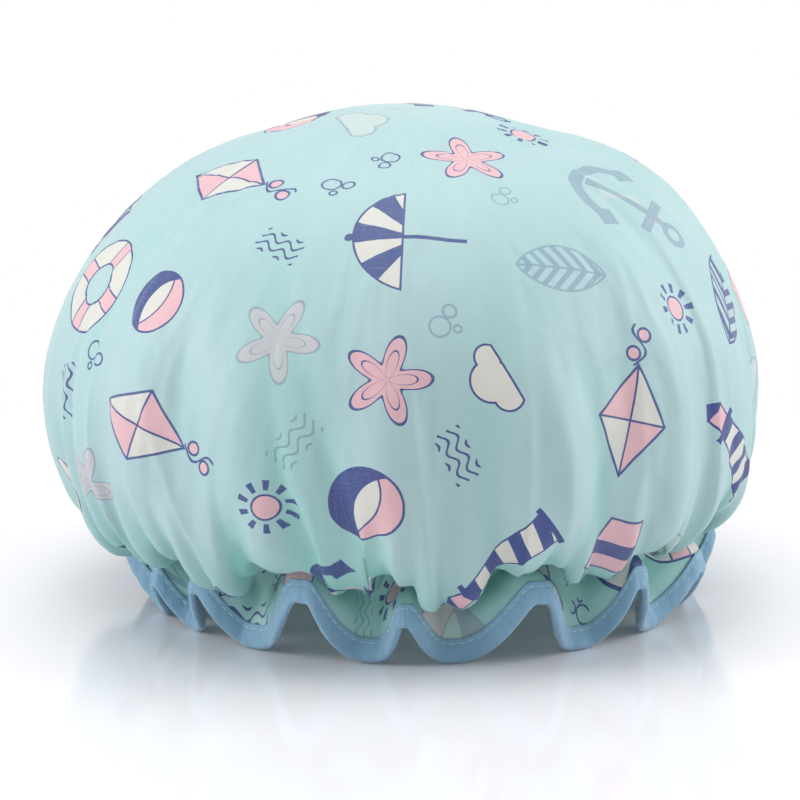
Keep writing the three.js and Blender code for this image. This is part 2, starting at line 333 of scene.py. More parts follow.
ELASTIC_RADIUS = ELASTIC_LOOP / (2 * math.pi)
LOWER_SEAM = RUFFLE_DEPTH
UPPER_SEAM = LOWER_SEAM + CASING_WIDTH
LIP_HEIGHT = UPPER_SEAM - LIP_TUCK
WIDEST_HEIGHT = LIP_HEIGHT + BELLY_DROP
SEAM_RADIUS = ELASTIC_RADIUS + ELASTIC_DEPTH
LIP_RADIUS = SEAM_RADIUS + LIP_OVERHANG
TAPE_TOP = RUFFLE_DEPTH - TAPE_WIDTH

# %% The folds, in order from the left of the front
FIRST_TROUGH = math.radians(-70)
FOLD_WIDTHS = np.radians([14, 19, 27, 16, 30, 20, 26, 20, 24, 19, 26, 22, 24, 27, 18, 28])
FOLD_FLARES = np.array([0.66, 0.8, 0.96, 0.7, 0.94, 0.9, 0.72, 0.8, 0.88, 0.7, 0.8, 0.82, 0.76,
    0.9, 0.74, 0.7])
FOLD_TUCKS = np.array([0.4, 0.9, 0.4, 0, 0.7, 1, 0.5, 0.8, 0.1, 0.6, 1, 0.3, 0.9, 0.5, 0.2, 1])
FOLD_LEANS = np.array([0.5, -0.6, 0.4, -0.8, 0.7, -0.3, 0.6, -0.5, 0.8, -0.4, 0.3, -0.7, 0.5, 0.2,
    -0.6, 0.4])
FOLD_STARTS = FIRST_TROUGH + np.concatenate([[0], np.cumsum(FOLD_WIDTHS)[:-1]])
TROUGH_TILTS = np.radians([24, 22, 18])
CREST_TILTS = np.radians([115, 60, 5])
TUCK_TILT = math.radians(5)

# %% [markdown]
# A fold's place is a share of its width, with a trough at 0 and 1 and the crest at one half. The
# ruffle spreads and leans more the further down it goes. Its hem is lifted a little, and most
# between a trough and a crest, so that it stands on the table in short, rounded stretches.

# %% Columns of the net
WAVE_SHARES = (0.06, 0.44)
TUCK_SHARES = (0.35, 0.65)
SPREAD_SHARE, LEAN_SHARE = 0.085, 0.09
HEM_LIFT, HEM_ROUND = 0.0009, 0.0013


def lerp(a, b, share):
    return a + (b - a) * share


def smooth(value, low=0.0, high=1.0):
    share = np.clip((value - low) / (high - low), 0, 1)
    return share * share * (3 - 2 * share)


class Columns:
    """Places round the cap, an equal number in each fold."""

    def __init__(self, per_fold):
        count = len(FOLD_WIDTHS)
        self.fold = np.repeat(np.arange(count), per_fold)
        self.share = np.tile(np.arange(per_fold) / per_fold, count)
        self.pitch = FOLD_WIDTHS[self.fold]
        self.angle = FOLD_STARTS[self.fold] + self.share * self.pitch
        from_trough = np.minimum(self.share, 1 - self.share)
        self.wave = smooth(from_trough, *WAVE_SHARES)
        self.crest = self.wave * FOLD_FLARES[self.fold]
        self.ridge = -np.cos(2 * np.pi * self.share)
        late = smooth(self.share, *TUCK_SHARES)
        following = (self.fold + 1) % count
        self.tuck = lerp(FOLD_TUCKS[self.fold], FOLD_TUCKS[following], late)
        self.spread = SPREAD_SHARE * np.sin(2 * np.pi * self.share) * self.pitch
        self.lean = LEAN_SHARE * FOLD_LEANS[self.fold] * self.wave * self.pitch
        self.lift = HEM_LIFT + HEM_ROUND * np.sin(2 * np.pi * self.share) ** 2
        self.count = len(self.angle)


# %% Where the cloth's outer face lies
UNDER_SHARES, UNDER_SAG = (0.42, 0.18), 0.001


def around(radius, height, angle, shift_share):
    """Points in space from their distance to the middle and their height."""
    x = radius * np.sin(angle) + OPENING_OFFSET * shift_share
    return np.stack([x, -radius * np.cos(angle), height + 0 * x], -1)


def bezier(points, share):
    a, b, c, d = points
    rest = 1 - share
    return rest**3 * a + 3 * rest**2 * share * b + 3 * rest * share**2 * c + share**3 * d


def crown(cols, slope):
    grown = (slope / (math.pi / 2)) ** 3
    radius = CROWN_RADIUS * math.sin(slope) + RIDGE_DEPTH / 2 * grown * cols.ridge
    return around(radius, WIDEST_HEIGHT + CROWN_RISE * math.cos(slope), cols.angle, 0)


def belly(cols, share):
    radius = bezier((CROWN_RADIUS, CROWN_RADIUS, LIP_RADIUS + BELLY_CURL, LIP_RADIUS), share)
    height = bezier((WIDEST_HEIGHT, WIDEST_HEIGHT - BELLY_FULLNESS, LIP_HEIGHT, LIP_HEIGHT), share)
    radius = radius + RIDGE_DEPTH / 2 * cols.ridge * (1 - share) + LOBE_DEPTH * cols.crest * share
    return around(radius, height + LOBE_LIFT * cols.crest * share, cols.angle, 0.5 * share)


def seam(cols, height):
    radius = SEAM_RADIUS + GATHER_DEPTH * cols.crest
    return around(radius, height + GATHER_LIFT * cols.crest, cols.angle, 1)


def underside(cols, share):
    """From the lip, where the puff turns under, in and up to the upper seam."""
    lip, sewn = belly(cols, 1.0), seam(cols, UPPER_SEAM)
    inward = (sewn - lip) * (1, 1, 0)
    leaving, arriving = UNDER_SHARES
    below = sewn - arriving * inward - (0, 0, UNDER_SAG)
    return bezier((lip, lip + leaving * inward, below, sewn), share)


def casing(cols, share):
    puffed = CASING_PUFF * math.sin(math.pi * share)
    at = seam(cols, lerp(UPPER_SEAM, LOWER_SEAM, share))
    return at + puffed * around(1, 0, cols.angle, 0)


# %% The ruffle below the elastic
BEND_SHARES = (0.25, 0.5, 0.75)
RUFFLE_STEPS = 96


def ruffle(cols, depths):
    """Rows of the ruffle, at depths under the lower seam."""
    early, half, late = (share * TAPE_TOP for share in BEND_SHARES)
    knots = [0, early, late, TAPE_TOP + TAPE_WIDTH / 2, RUFFLE_DEPTH]
    tilts = np.stack([
        lerp(TROUGH_TILTS[k] - TUCK_TILT * cols.tuck, CREST_TILTS[k], cols.crest)
        for k in (0, 0, 1, 2, 2)
    ])
    steps = np.linspace(0, RUFFLE_DEPTH, RUFFLE_STEPS + 1)
    middles = (steps[1:] + steps[:-1]) / 2
    tilt = np.stack([np.interp(middles, knots, tilts[:, c]) for c in range(cols.count)], 1)
    run = steps[1]
    out = np.vstack([np.zeros(cols.count), np.cumsum(run * np.sin(tilt), 0)])
    down = np.vstack([np.zeros(cols.count), np.cumsum(run * np.cos(tilt), 0)])
    rows = []
    for depth in depths:
        k = depth / run
        low = min(int(k), len(steps) - 2)
        reach = lerp(out[low], out[low + 1], k - low)
        drop = lerp(down[low], down[low + 1], k - low)
        turn = cols.spread * smooth(depth, half, RUFFLE_DEPTH)
        turn = turn + cols.lean * smooth(depth, early, RUFFLE_DEPTH)
        radius = SEAM_RADIUS + GATHER_DEPTH * cols.crest + reach
        lift = cols.lift * smooth(depth, early, TAPE_TOP)
        height = LOWER_SEAM + GATHER_LIFT * cols.crest - drop + lift
        rows.append(around(radius, height, cols.angle + turn, 1))
    return rows


# %% [markdown]
# ## The cloth as one net
#
# The rows of the net run from the top of the crown to the edge in the tape. Each row keeps the
# length of cloth above it, which is its distance from the middle of the flat disc, so that the
# print can later be laid on the cloth as it was before it was gathered.

# %% Rows of the outer cloth
CROWN_ROWS, BELLY_ROWS, UNDER_ROWS, CASING_ROWS, RUFFLE_ROWS, ROWS_IN_TAPE = 44, 21, 7, 4, 7, 2
ROOM_IN_TAPE = 0.0012
CLOTH_EDGE = RUFFLE_DEPTH - ROOM_IN_TAPE


def steps_to(end, count, start=0):
    """Even steps that end at a value and leave out the start."""
    return np.linspace(start, end, count + 1)[1:]


def cloth_rows(cols):
    rows = [crown(cols, slope) for slope in steps_to(math.pi / 2, CROWN_ROWS)]
    for part, count in ((belly, BELLY_ROWS), (underside, UNDER_ROWS), (casing, CASING_ROWS)):
        rows += [part(cols, share) for share in steps_to(1, count)]
    in_tape = steps_to(CLOTH_EDGE, ROWS_IN_TAPE, TAPE_TOP)
    rows += ruffle(cols, [*steps_to(TAPE_TOP, RUFFLE_ROWS), *in_tape])
    return np.stack(rows)


PER_FOLD = 18
STAND = 0.0015
cols = Columns(PER_FOLD)
net = cloth_rows(cols)
top = np.array([0, 0, WIDEST_HEIGHT + CROWN_RISE])
net[..., 2] -= STAND
top[2] -= STAND

steps = np.linalg.norm(np.diff(net, axis=0), axis=2).mean(1)
lengths = np.concatenate([[np.linalg.norm(net[0] - top, axis=1).mean()], steps]).cumsum()
rounds = np.linalg.norm(np.roll(net, -1, 1) - net, axis=2).sum(1)
SEAM_ROW = CROWN_ROWS + BELLY_ROWS + UNDER_ROWS - 1
print(f"net of {net.shape[0]} rows and {net.shape[1]} columns; cloth from top to edge "
    f"{lengths[-1] * 1000:.0f} mm; round the edge {rounds[-1] * 1000:.0f} mm")

# %% A mesh from the net, and its place on the flat disc
def cloth_mesh(name, net, top):
    rows, columns = net.shape[:2]
    points = np.concatenate([net.reshape(-1, 3), [top]])
    pole = len(points) - 1
    cap = [(pole, k, (k + 1) % columns) for k in range(columns)]
    return mesh_object(name, points, [*cap, *grid_faces(rows, columns)])


def lay_flat(thing, cols, lengths):
    """Writes each corner's place on the flat disc to a map, in metres from its middle."""
    angle = np.tile(cols.angle, len(lengths))
    away = np.repeat(lengths, cols.count)
    flat = np.stack([away * np.sin(angle), away * -np.cos(angle)], 1)
    flat = np.concatenate([flat, [[0, 0]]])
    layer = thing.data.uv_layers.new(name="flat_cloth")
    layer.data.foreach_set("uv", flat[corners_of(thing.data)].ravel())


# %% [markdown]
# ## Softening the puff
#
# A formula alone looks moulded. Real cloth has more length round the opening than the elastic
# leaves room for, so it buckles into creases that run up into the crown. The Cloth solver finds
# those creases: the rest shape holds the extra length, everything from the upper seam down is
# pinned, and a light pressure stands for the filling that holds the cap up. How far a point may
# move is capped, because the layers below must still fit.

# %% Gathers that start the creases
GATHERS_PER_FOLD = 3
GATHER_SIZES = (0.5, 1.3)
GATHER_MEAN = 0.4
ABOVE_SEAM, BELOW_SEAM, AT_SEAM = 0.0032, 0.0012, 0.0004
# (from, to) on the cloth, where they grow and where they fade again
ABOVE_GROWS, ABOVE_FADES = (0, 0.014), (0.02, 0.075)
BELOW_GROWS, BELOW_FADES, SEAM_FADES = (0.008, 0.014), (0.016, 0.028), (0, 0.012)
rng = np.random.default_rng(11)
gather_sizes = rng.uniform(*GATHER_SIZES, len(FOLD_WIDTHS) * GATHERS_PER_FOLD)


def normals_of(net, top):
    """The outward direction at each point of a net that closes on itself and at the top."""
    up = np.concatenate([np.broadcast_to(top, net[:1].shape), net[:-1]])
    low = np.concatenate([net[1:], net[-1:]])
    normal = np.cross(low - up, np.roll(net, -1, 1) - np.roll(net, 1, 1))
    return normal / np.linalg.norm(normal, axis=2, keepdims=True)


def gather_wave(cols):
    place = cols.share * GATHERS_PER_FOLD
    which = cols.fold * GATHERS_PER_FOLD + np.floor(place).astype(int)
    return gather_sizes[which] * (0.5 - 0.5 * np.cos(2 * np.pi * place)) - GATHER_MEAN


def gather_depths(up):
    """How deep the gathers are, at lengths of cloth above the upper seam (below, if negative)."""
    above = ABOVE_SEAM * smooth(up, *ABOVE_GROWS) * (1 - smooth(up, *ABOVE_FADES))
    below = BELOW_SEAM * smooth(-up, *BELOW_GROWS) * (1 - smooth(-up, *BELOW_FADES))
    return above + below + AT_SEAM * (1 - smooth(abs(up), *SEAM_FADES))


depths = gather_depths(lengths[SEAM_ROW] - lengths)
net += (depths[:, None] * gather_wave(cols))[..., None] * normals_of(net, top)

# %% The length that the flat cloth has round each row
EXTRA_AT_WIDEST, EXTRA_AT_SEAM = 0.01, 0.42
EXTRA_FROM = 0.01
LEAST_DROP_SHARE = 0.2
rounds = np.linalg.norm(np.roll(net, -1, 1) - net, axis=2).sum(1)
below_widest = smooth(lengths, lengths[CROWN_ROWS - 1] - EXTRA_FROM, lengths[SEAM_ROW])
cut_radius = rounds / (2 * np.pi) * (1 + lerp(EXTRA_AT_WIDEST, EXTRA_AT_SEAM, below_widest))
cut_radius[: CROWN_ROWS // 2] = (rounds / (2 * np.pi))[: CROWN_ROWS // 2]


def flat_cut(net, top, cols):
    """The net with the lengths it was cut to, as a surface that turns about one axis."""
    run = np.diff(lengths, prepend=0)
    wide = np.diff(cut_radius, prepend=0)
    drop = np.sqrt(np.maximum(run**2 - wide**2, (LEAST_DROP_SHARE * run) ** 2)).cumsum()
    height = top[2] - drop
    return np.stack([around(r, h, cols.angle, 0) for r, h in zip(cut_radius, height)])


# %% Run the Cloth solver
SOLVER_FRAMES = 24
MOST_MOVED = 0.007
TINY = 1e-9


def soften(net, top, cols):
    sim = cloth_mesh("sim", net, top)
    sim.shape_key_add(name="start")
    cut = sim.shape_key_add(name="cut")
    cut_points = np.concatenate([flat_cut(net, top, cols).reshape(-1, 3), [top]])
    cut.data.foreach_set("co", cut_points.ravel())
    pinned = sim.vertex_groups.new(name="sewn")
    pinned.add(list(range(SEAM_ROW * cols.count, net.shape[0] * cols.count)), 1.0, "REPLACE")
    cloth = sim.modifiers.new("cloth", "CLOTH")
    settings = cloth.settings
    settings.quality = 6
    settings.mass = 0.12
    settings.tension_stiffness = settings.compression_stiffness = 30
    settings.shear_stiffness = 8
    settings.bending_stiffness = 0.05
    settings.air_damping = 4
    settings.effector_weights.gravity = 0
    settings.use_pressure = True
    settings.uniform_pressure_force = 2.5
    settings.vertex_group_mass = "sewn"
    settings.rest_shape_key = cut
    cloth.collision_settings.use_collision = False
    cloth.point_cache.frame_start, cloth.point_cache.frame_end = 1, SOLVER_FRAMES
    for now in range(1, SOLVER_FRAMES + 1):
        scene.frame_set(now)
    seen = sim.evaluated_get(bpy.context.evaluated_depsgraph_get())
    settled = points_of(seen.to_mesh())[:-1].reshape(net.shape)
    moved = settled - net
    far = np.linalg.norm(moved, axis=2, keepdims=True)
    print(f"cloth moved {far.mean() * 1000:.1f} mm on average, {far.max() * 1000:.1f} mm at most")
    scene.frame_set(1)
    bpy.data.objects.remove(sim)
    return net + moved * np.minimum(1, MOST_MOVED / np.maximum(far, TINY))


net = soften(net, top, cols)

# %% [markdown]
# ## The outer cloth
#
# The softened net becomes the printed cloth. Points are first added halfway along every edge of
# the net, on smooth curves through its points, so that no facets show.

# %% A finer net, and the outer cloth
def finer(net):
    half = (9 * (net + np.roll(net, -1, 1)) - np.roll(net, 1, 1) - np.roll(net, -2, 1)) / 16
    net = np.stack([net, half], 2).reshape(len(net), -1, 3)
    ends = np.concatenate([[2 * net[0] - net[1]], net, [2 * net[-1] - net[-2]]])
    rows = np.empty((2 * len(net) - 1, *net.shape[1:]))
    rows[::2] = net
    rows[1::2] = (9 * (ends[1:-2] + ends[2:-1]) - ends[:-3] - ends[3:]) / 16
    return rows


def belongs(piece, slot, *nodes):
    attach(piece, "root")
    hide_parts(*nodes)


fine_cols = Columns(2 * PER_FOLD)
fine_lengths = np.interp(np.arange(2 * len(lengths) - 1) / 2, np.arange(len(lengths)), lengths)
fine_net = finer(net)
UPPER_ROW, LOWER_ROW = 2 * SEAM_ROW, 2 * (SEAM_ROW + CASING_ROWS)

# %% [markdown]
# ### Creases at the elastic
#
# Where the needle pulls the cloth together, each small gather starts as a sharp valley and
# widens as it runs up into the puff. A few narrow pleats stand out between them, and broad, low
# swells run on over the crown. The real creases are narrower than the solver's faces, so they
# are laid on the softened net by rule, each with a seeded place, depth, length and drift. Broad
# bulges and hollows then shape the puff as a whole. All of these fade to nothing at the seams,
# where the stitches are.

# %% Valleys, pleats and swells, in metres
# (how many, how deep, how far up they reach, how wide they start, how they widen)
VALLEYS = [(62, (0.002, 0.0056), (0.014, 0.05), 0.0013, 0.055),
    (29, (0.003, 0.0075), (0.035, 0.095), 0.002, 0.04)]
BLUNT, BLUNT_GROWTH = 0.0003, 0.025
DEEPEST_AT_LIP, DEEPEST_ABOVE, DEEPER_FROM_TO = 0.0042, 0.0034, (0.014, 0.03)
PLEATS, UNEVEN_PLEATS = 24, (0.8, 1.3)
PLEAT_HEIGHTS, PLEAT_WIDTHS, PLEAT_REACHES = (0.0014, 0.0038), (0.0012, 0.0062), (0.03, 0.1)
SWELLS, SWELL_HEIGHT, SWELL_WIDTHS = 46, 0.0016, (0.006, 0.014)
SWELL_MIDDLES, SWELL_EXTENTS = (0.03, 0.13), (0.025, 0.05)
VALLEY_DRIFT, PLEAT_DRIFT, SWELL_DRIFT = 0.3, 0.12, 0.15
# (degrees round from the front, drift, how high, where it starts, where it ends)
LONG_PLEATS = [(9, 0.02, 0.0022, 0.0, 0.085), (27, -0.06, 0.0026, 0.0, 0.1),
    (47, 0.05, 0.0026, 0.02, 0.165), (59, 0.0, 0.003, 0.03, 0.18), (-34, 0.08, 0.002, 0.0, 0.1),
    (-57, -0.05, 0.0028, 0.01, 0.15), (-74, 0.1, 0.0026, 0.0, 0.15), (84, 0.06, 0.0024, 0.0, 0.15)]
LONG_PLEATS += [(degrees, drift, 0.0026, 0.01, end) for degrees, drift, end in (
    (104, 0.1, 0.13), (121, -0.05, 0.16), (143, 0.0, 0.12), (161, 0.1, 0.15), (178, -0.1, 0.13),
    (199, 0.05, 0.16), (222, -0.1, 0.12), (244, 0.05, 0.15), (262, 0.0, 0.14))]
STEEP_SIDE, GENTLE_SIDE = 0.0018, 0.013
LONG_PLEAT_BLUNT, PLEAT_RISE = 0.0005, 0.02
# (turns of noise round the cap, noise per metre up it, how high)
WRINKLES = [(9, 18, 0.0010), (22, 42, 0.0005)]
WRINKLE_CREST = 0.3
# (how high, degrees round from the front, degrees of spread, how far up, how far it extends)
BULGES = [(0.0042, 95, 45, 0.155, 0.03), (0.0024, -90, 45, 0.022, 0.012),
    (-0.0052, 90, 50, 0.02, 0.014)]
TOP_SAG, TOP_SAG_WIDTH = 0.0008, 0.03
RING_SAG, RING_SAG_AT, RING_SAG_WIDTH = 0.0024, 0.05, 0.022
RUFFLE_CREASES, RUFFLE_CREASE_DEPTH, RUFFLE_CREASE_WIDTH = 66, 0.0006, 0.0016
CREASE_GROWS, CREASE_FADES = (0, 0.004), (0.009, 0.0145)
CASING_RIBS, RIB_HEIGHT = 72, 0.00035

# %% Tools that lay creases on the finer net
JITTER = 0.4
FADE_IN, FADE_POWER = 0.005, 1.6
rng = np.random.default_rng(5)
reach_up = (fine_lengths[UPPER_ROW] - fine_lengths)[:, None]
row_radius = np.linalg.norm(fine_net[..., :2], axis=2).mean(1)[:, None]


def beside(angle, drift):
    """How far each point lies to the side of a line that starts at the elastic."""
    turn = (fine_cols.angle - angle + np.pi) % (2 * np.pi) - np.pi
    return turn * row_radius - drift * np.maximum(reach_up, 0)


def spaced(k, count):
    """The angle of one of an even row round the cap, moved by up to JITTER of a step."""
    return 2 * np.pi * (k + rng.uniform(-JITTER, JITTER)) / count


def fading(reach):
    past = np.maximum(reach_up, 0) / reach
    return smooth(reach_up, 0, FADE_IN) * np.exp(-(past**FADE_POWER))


def crease(aside, width, blunt):
    """A crest of height 1 with sides that fall off over a width, and a rounded top."""
    return np.exp((blunt - np.hypot(aside, blunt)) / width)


def hump(aside, width):
    return np.exp(-((aside / width) ** 2))


# %% Valleys and pleats at the elastic
push = np.zeros(fine_net.shape[:2])
for count, depths, reaches, start_width, widening in VALLEYS:
    for k in range(count):
        aside = beside(spaced(k, count), rng.normal(0, VALLEY_DRIFT))
        width = start_width + widening * abs(reach_up)
        valley = crease(aside, width, BLUNT + BLUNT_GROWTH * abs(reach_up))
        push -= rng.uniform(*depths) * fading(rng.uniform(*reaches)) * valley
for k in range(PLEATS):
    aside = beside(spaced(k, PLEATS), rng.normal(0, PLEAT_DRIFT)) * rng.choice((-1, 1))
    steep, gentle = rng.uniform(*UNEVEN_PLEATS, 2) * PLEAT_WIDTHS
    ridge = crease(aside, np.where(aside < 0, steep, gentle), BLUNT)
    push += rng.uniform(*PLEAT_HEIGHTS) * fading(rng.uniform(*PLEAT_REACHES)) * ridge
deepest = DEEPEST_AT_LIP + DEEPEST_ABOVE * smooth(reach_up, *DEEPER_FROM_TO)
push = np.where(push < 0, -deepest * np.tanh(-push / deepest), push)

# %% Swells, long pleats and wrinkles over the crown
for k in range(SWELLS):
    aside = beside(rng.uniform(-np.pi, np.pi), rng.normal(0, SWELL_DRIFT))
    middle, extent = rng.uniform(*SWELL_MIDDLES), rng.uniform(*SWELL_EXTENTS)
    along = hump(reach_up - middle, extent) * smooth(reach_up, 0, 0.02)
    height = SWELL_HEIGHT * rng.uniform(-1, 1)
    push += height * along * hump(aside, rng.uniform(*SWELL_WIDTHS))
for k, (degrees, drift, height, start, end) in enumerate(LONG_PLEATS):
    aside = beside(math.radians(degrees), drift) * (1 if k % 2 else -1)
    ridge = crease(aside, np.where(aside < 0, STEEP_SIDE, GENTLE_SIDE), LONG_PLEAT_BLUNT)
    along = smooth(reach_up, start, start + PLEAT_RISE) * (1 - smooth(reach_up, 0.5 * end, end))
    push += height * along * ridge


def ripple(turns, per_metre):
    """Sharp-crested random ripples, longer up the cloth than round it."""
    round_it = turns * np.stack([np.cos(fine_cols.angle), np.sin(fine_cols.angle)], 1)
    return np.array([[WRINKLE_CREST - abs(perlin.noise((x, y, per_metre * up)))
        for x, y in round_it] for up in fine_lengths])


for turns, per_metre, height in WRINKLES:
    over_puff = smooth(reach_up, 0.004, 0.02) * smooth(fine_lengths[:, None], 0.01, 0.05)
    push += height * over_puff * ripple(turns, per_metre)

# %% Painted shade: how much greener the cloth is painted near the elastic, where it lies in several layers, and in deep creases, from 0 to 1
AT_ELASTIC, NEAR_ELASTIC = 0.75, (0.004, 0.05)
IN_CREASE, DEEP_CREASE = 0.6, 0.006
painted_crease_shade = AT_ELASTIC * (1 - smooth(abs(reach_up), *NEAR_ELASTIC))
painted_crease_shade = painted_crease_shade + np.clip(-push / DEEP_CREASE, 0, IN_CREASE)

# %% Broad bulges and hollows, the ruffle's creases and the casing's ribs
for height, degrees, spread, up, extent in BULGES:
    turn = (np.degrees(fine_cols.angle) - degrees + 180) % 360 - 180
    swollen = hump(turn, spread) * hump(reach_up - up, extent)
    push += height * swollen * smooth(reach_up, 0, 0.008)
from_top = fine_lengths[:, None]
push -= TOP_SAG * hump(from_top, TOP_SAG_WIDTH)
push -= RING_SAG * hump(from_top - RING_SAG_AT, RING_SAG_WIDTH)

below_seam = (fine_lengths - fine_lengths[LOWER_ROW])[:, None]
on_ruffle = smooth(below_seam, *CREASE_GROWS) * (1 - smooth(below_seam, *CREASE_FADES))
for k in range(RUFFLE_CREASES):
    aside = beside(spaced(k, RUFFLE_CREASES), 0)
    depth = RUFFLE_CREASE_DEPTH * rng.uniform(-1, 0.6)
    push += depth * on_ruffle * hump(aside, RUFFLE_CREASE_WIDTH)
past_seam = np.arange(len(fine_lengths)) - UPPER_ROW
casing_share = np.clip(past_seam / (LOWER_ROW - UPPER_ROW), 0, 1)[:, None]
push += RIB_HEIGHT * np.sin(np.pi * casing_share) * abs(np.sin(CASING_RIBS / 2 * fine_cols.angle))

cloth_net = fine_net + push[..., None] * normals_of(fine_net, top)
cloth_top = top - (0, 0, TOP_SAG)
print(f"creases: {push.min() * 1000:.1f} mm to {push.max() * 1000:.1f} mm")

# %% The printed cloth
outer = cloth_mesh("printed_cloth", cloth_net, cloth_top)
lay_flat(outer, fine_cols, fine_lengths)
# The share of painted shade, stored for the printed cloth's shader
layer = outer.data.attributes.new("painted_crease_shade", "FLOAT", "POINT")
layer.data.foreach_set("value", np.append(np.clip(painted_crease_shade, 0, 1), 0).astype(np.float32))
belongs(outer, "outer_cloth", "outer_cloth")
print("outer cloth:", len(outer.data.polygons), "faces")

# %% [markdown]
# ## Laying the print on the cloth
#
# The print is drawn flat and the cloth is gathered afterwards, so every motif has to be placed
# on the cloth itself. Each motif is a stamp with a place on the net. Every face belongs to the
# stamp it lies nearest to, and its corners store where they lie on that stamp, in millimetres,
# measured on the cone that touches the crown there, so a motif isn't stretched. The third number
# stored says which motif it is. A seeded scatter keeps the stamps apart, the large ones first.

# %% Motifs by size: (number of the motif, how far it reaches from its middle, how many)
LARGE = [(0, 0.0235, 6), (1, 0.022, 6), (2, 0.0205, 6), (3, 0.0225, 6)]
MEDIUM = [(4, 0.0172, 6), (5, 0.0118, 7), (6, 0.0138, 7), (7, 0.0175, 7), (8, 0.0165, 7),
    (9, 0.0175, 6)]
SMALL = [(10, 0.0125, 9), (11, 0.0095, 10), (12, 0.0098, 9), (13, 0.0052, 14)]
ON_RUFFLE = [(12, 0.0075, 12), (5, 0.0095, 10), (6, 0.0105, 10), (10, 0.0095, 10), (13, 0.004, 20)]
STAMP_GAP = 0.004
STAMP_SIZES = (1.0, 1.3)
STAMP_TRIES = 900
FADED_SHARE = 0.16
TURNED_UNDER = 0.015
LEAST_SLOPE = 0.01

widest_length = lengths[CROWN_ROWS - 1]
under_length = widest_length + TURNED_UNDER
row_radii = rounds / (2 * np.pi)
below_radii = np.interp(lengths, [under_length, lengths[-1]], [CROWN_RADIUS, row_radii[-1]])
print_radius = np.where(lengths <= under_length, row_radii, below_radii)
print_slope = np.clip(np.gradient(print_radius, lengths), -1, 1)


def on_stamp(stamp, length, angle):
    """Where places on the cloth lie, seen from the middle of a stamp."""
    turn = (angle - stamp["angle"] + np.pi) % (2 * np.pi) - np.pi
    slope = np.maximum(np.interp(stamp["length"], lengths, print_slope), LEAST_SLOPE)
    apex = np.interp(stamp["length"], lengths, print_radius) / slope
    reach = apex + length - stamp["length"]
    below = stamp["length"] > widest_length
    level = np.interp(length, lengths, print_radius) * turn
    x = np.where(below, level, reach * np.sin(slope * turn))
    y = np.where(below, stamp["length"] - length, apex - reach * np.cos(slope * turn))
    cos, sin = np.cos(stamp["turn"]), np.sin(stamp["turn"])
    return (x * cos + y * sin) / stamp["size"], (y * cos - x * sin) / stamp["size"]


# %% Scatter the stamps
rng = np.random.default_rng(23)
fields = ["length", "angle", "turn", "size", "reach", "motif", "faded"]
wanted = sum(count for _, _, count in [*LARGE, *MEDIUM, *SMALL, *ON_RUFFLE])
stamps = np.zeros(wanted, [(f, float) for f in fields])
ring_shares = np.cumsum(print_radius * np.diff(lengths, prepend=0))
ring_shares /= ring_shares[-1]
ruffle_share = np.interp(lengths[SEAM_ROW], lengths, ring_shares)
used = 0
everywhere = ([*LARGE, *MEDIUM, *SMALL], 0, STAMP_GAP)
for kinds, lowest_share, gap in (everywhere, (ON_RUFFLE, ruffle_share, 0)):
    for motif, reach, count in kinds:
        placed = 0
        for _ in range(STAMP_TRIES):
            if placed == count:
                break
            size = rng.uniform(*STAMP_SIZES)
            length = np.interp(rng.uniform(lowest_share, 1), ring_shares, lengths)
            angle = rng.uniform(-np.pi, np.pi)
            others = stamps[:used]
            far = np.hypot(*on_stamp(others, length, angle)) * others["size"]
            if np.all(far > others["reach"] + reach * size + gap):
                turn, faded = rng.uniform(-np.pi, np.pi), rng.uniform() < FADED_SHARE
                stamps[used] = (length, angle, turn, size, reach * size, motif, faded)
                used, placed = used + 1, placed + 1
stamps = stamps[:used]
print(used, "stamps, of each motif:", np.bincount(stamps["motif"].astype(int)))

# %% Store each corner's place on its stamp
corners = len(outer.data.loops)
flat = np.empty(2 * corners, np.float32)
outer.data.uv_layers["flat_cloth"].data.foreach_get("uv", flat)
flat = flat.reshape(-1, 2)
sizes = np.empty(len(outer.data.polygons), int)
outer.data.polygons.foreach_get("loop_total", sizes)
starts = np.concatenate([[0], sizes.cumsum()[:-1]])
middle = np.add.reduceat(flat, starts) / sizes[:, None]


def polar(flat):
    return np.linalg.norm(flat, axis=1), np.arctan2(flat[:, 0], -flat[:, 1])


def share_of_reach(stamp):
    return np.hypot(*on_stamp(stamp, *polar(middle))) * stamp["size"] / stamp["reach"]


nearest = np.repeat(np.stack([share_of_reach(stamp) for stamp in stamps]).argmin(0), sizes)
length, angle = polar(flat)
stored = np.zeros((corners, 3), np.float32)
for k, stamp in enumerate(stamps):
    mine = nearest == k
    x, y = on_stamp(stamp, length[mine], angle[mine])
    stored[mine] = np.stack([1000 * x, 1000 * y, x * 0 + stamp["motif"] + 0.5 * stamp["faded"]], 1)
layer = outer.data.attributes.new("stamp", "FLOAT_VECTOR", "CORNER")
layer.data.foreach_set("vector", stored.ravel())

# %% [markdown]
# ## Drawing the motifs
#
# Each motif is drawn by distances: a shape is where a distance is below zero, its outline is
# where it is near zero, a union is the least of two distances and a cut the greatest. All the
# drawings are plain seaside things in navy, pink and cream, with outlines of one width, as a
# screen print has.

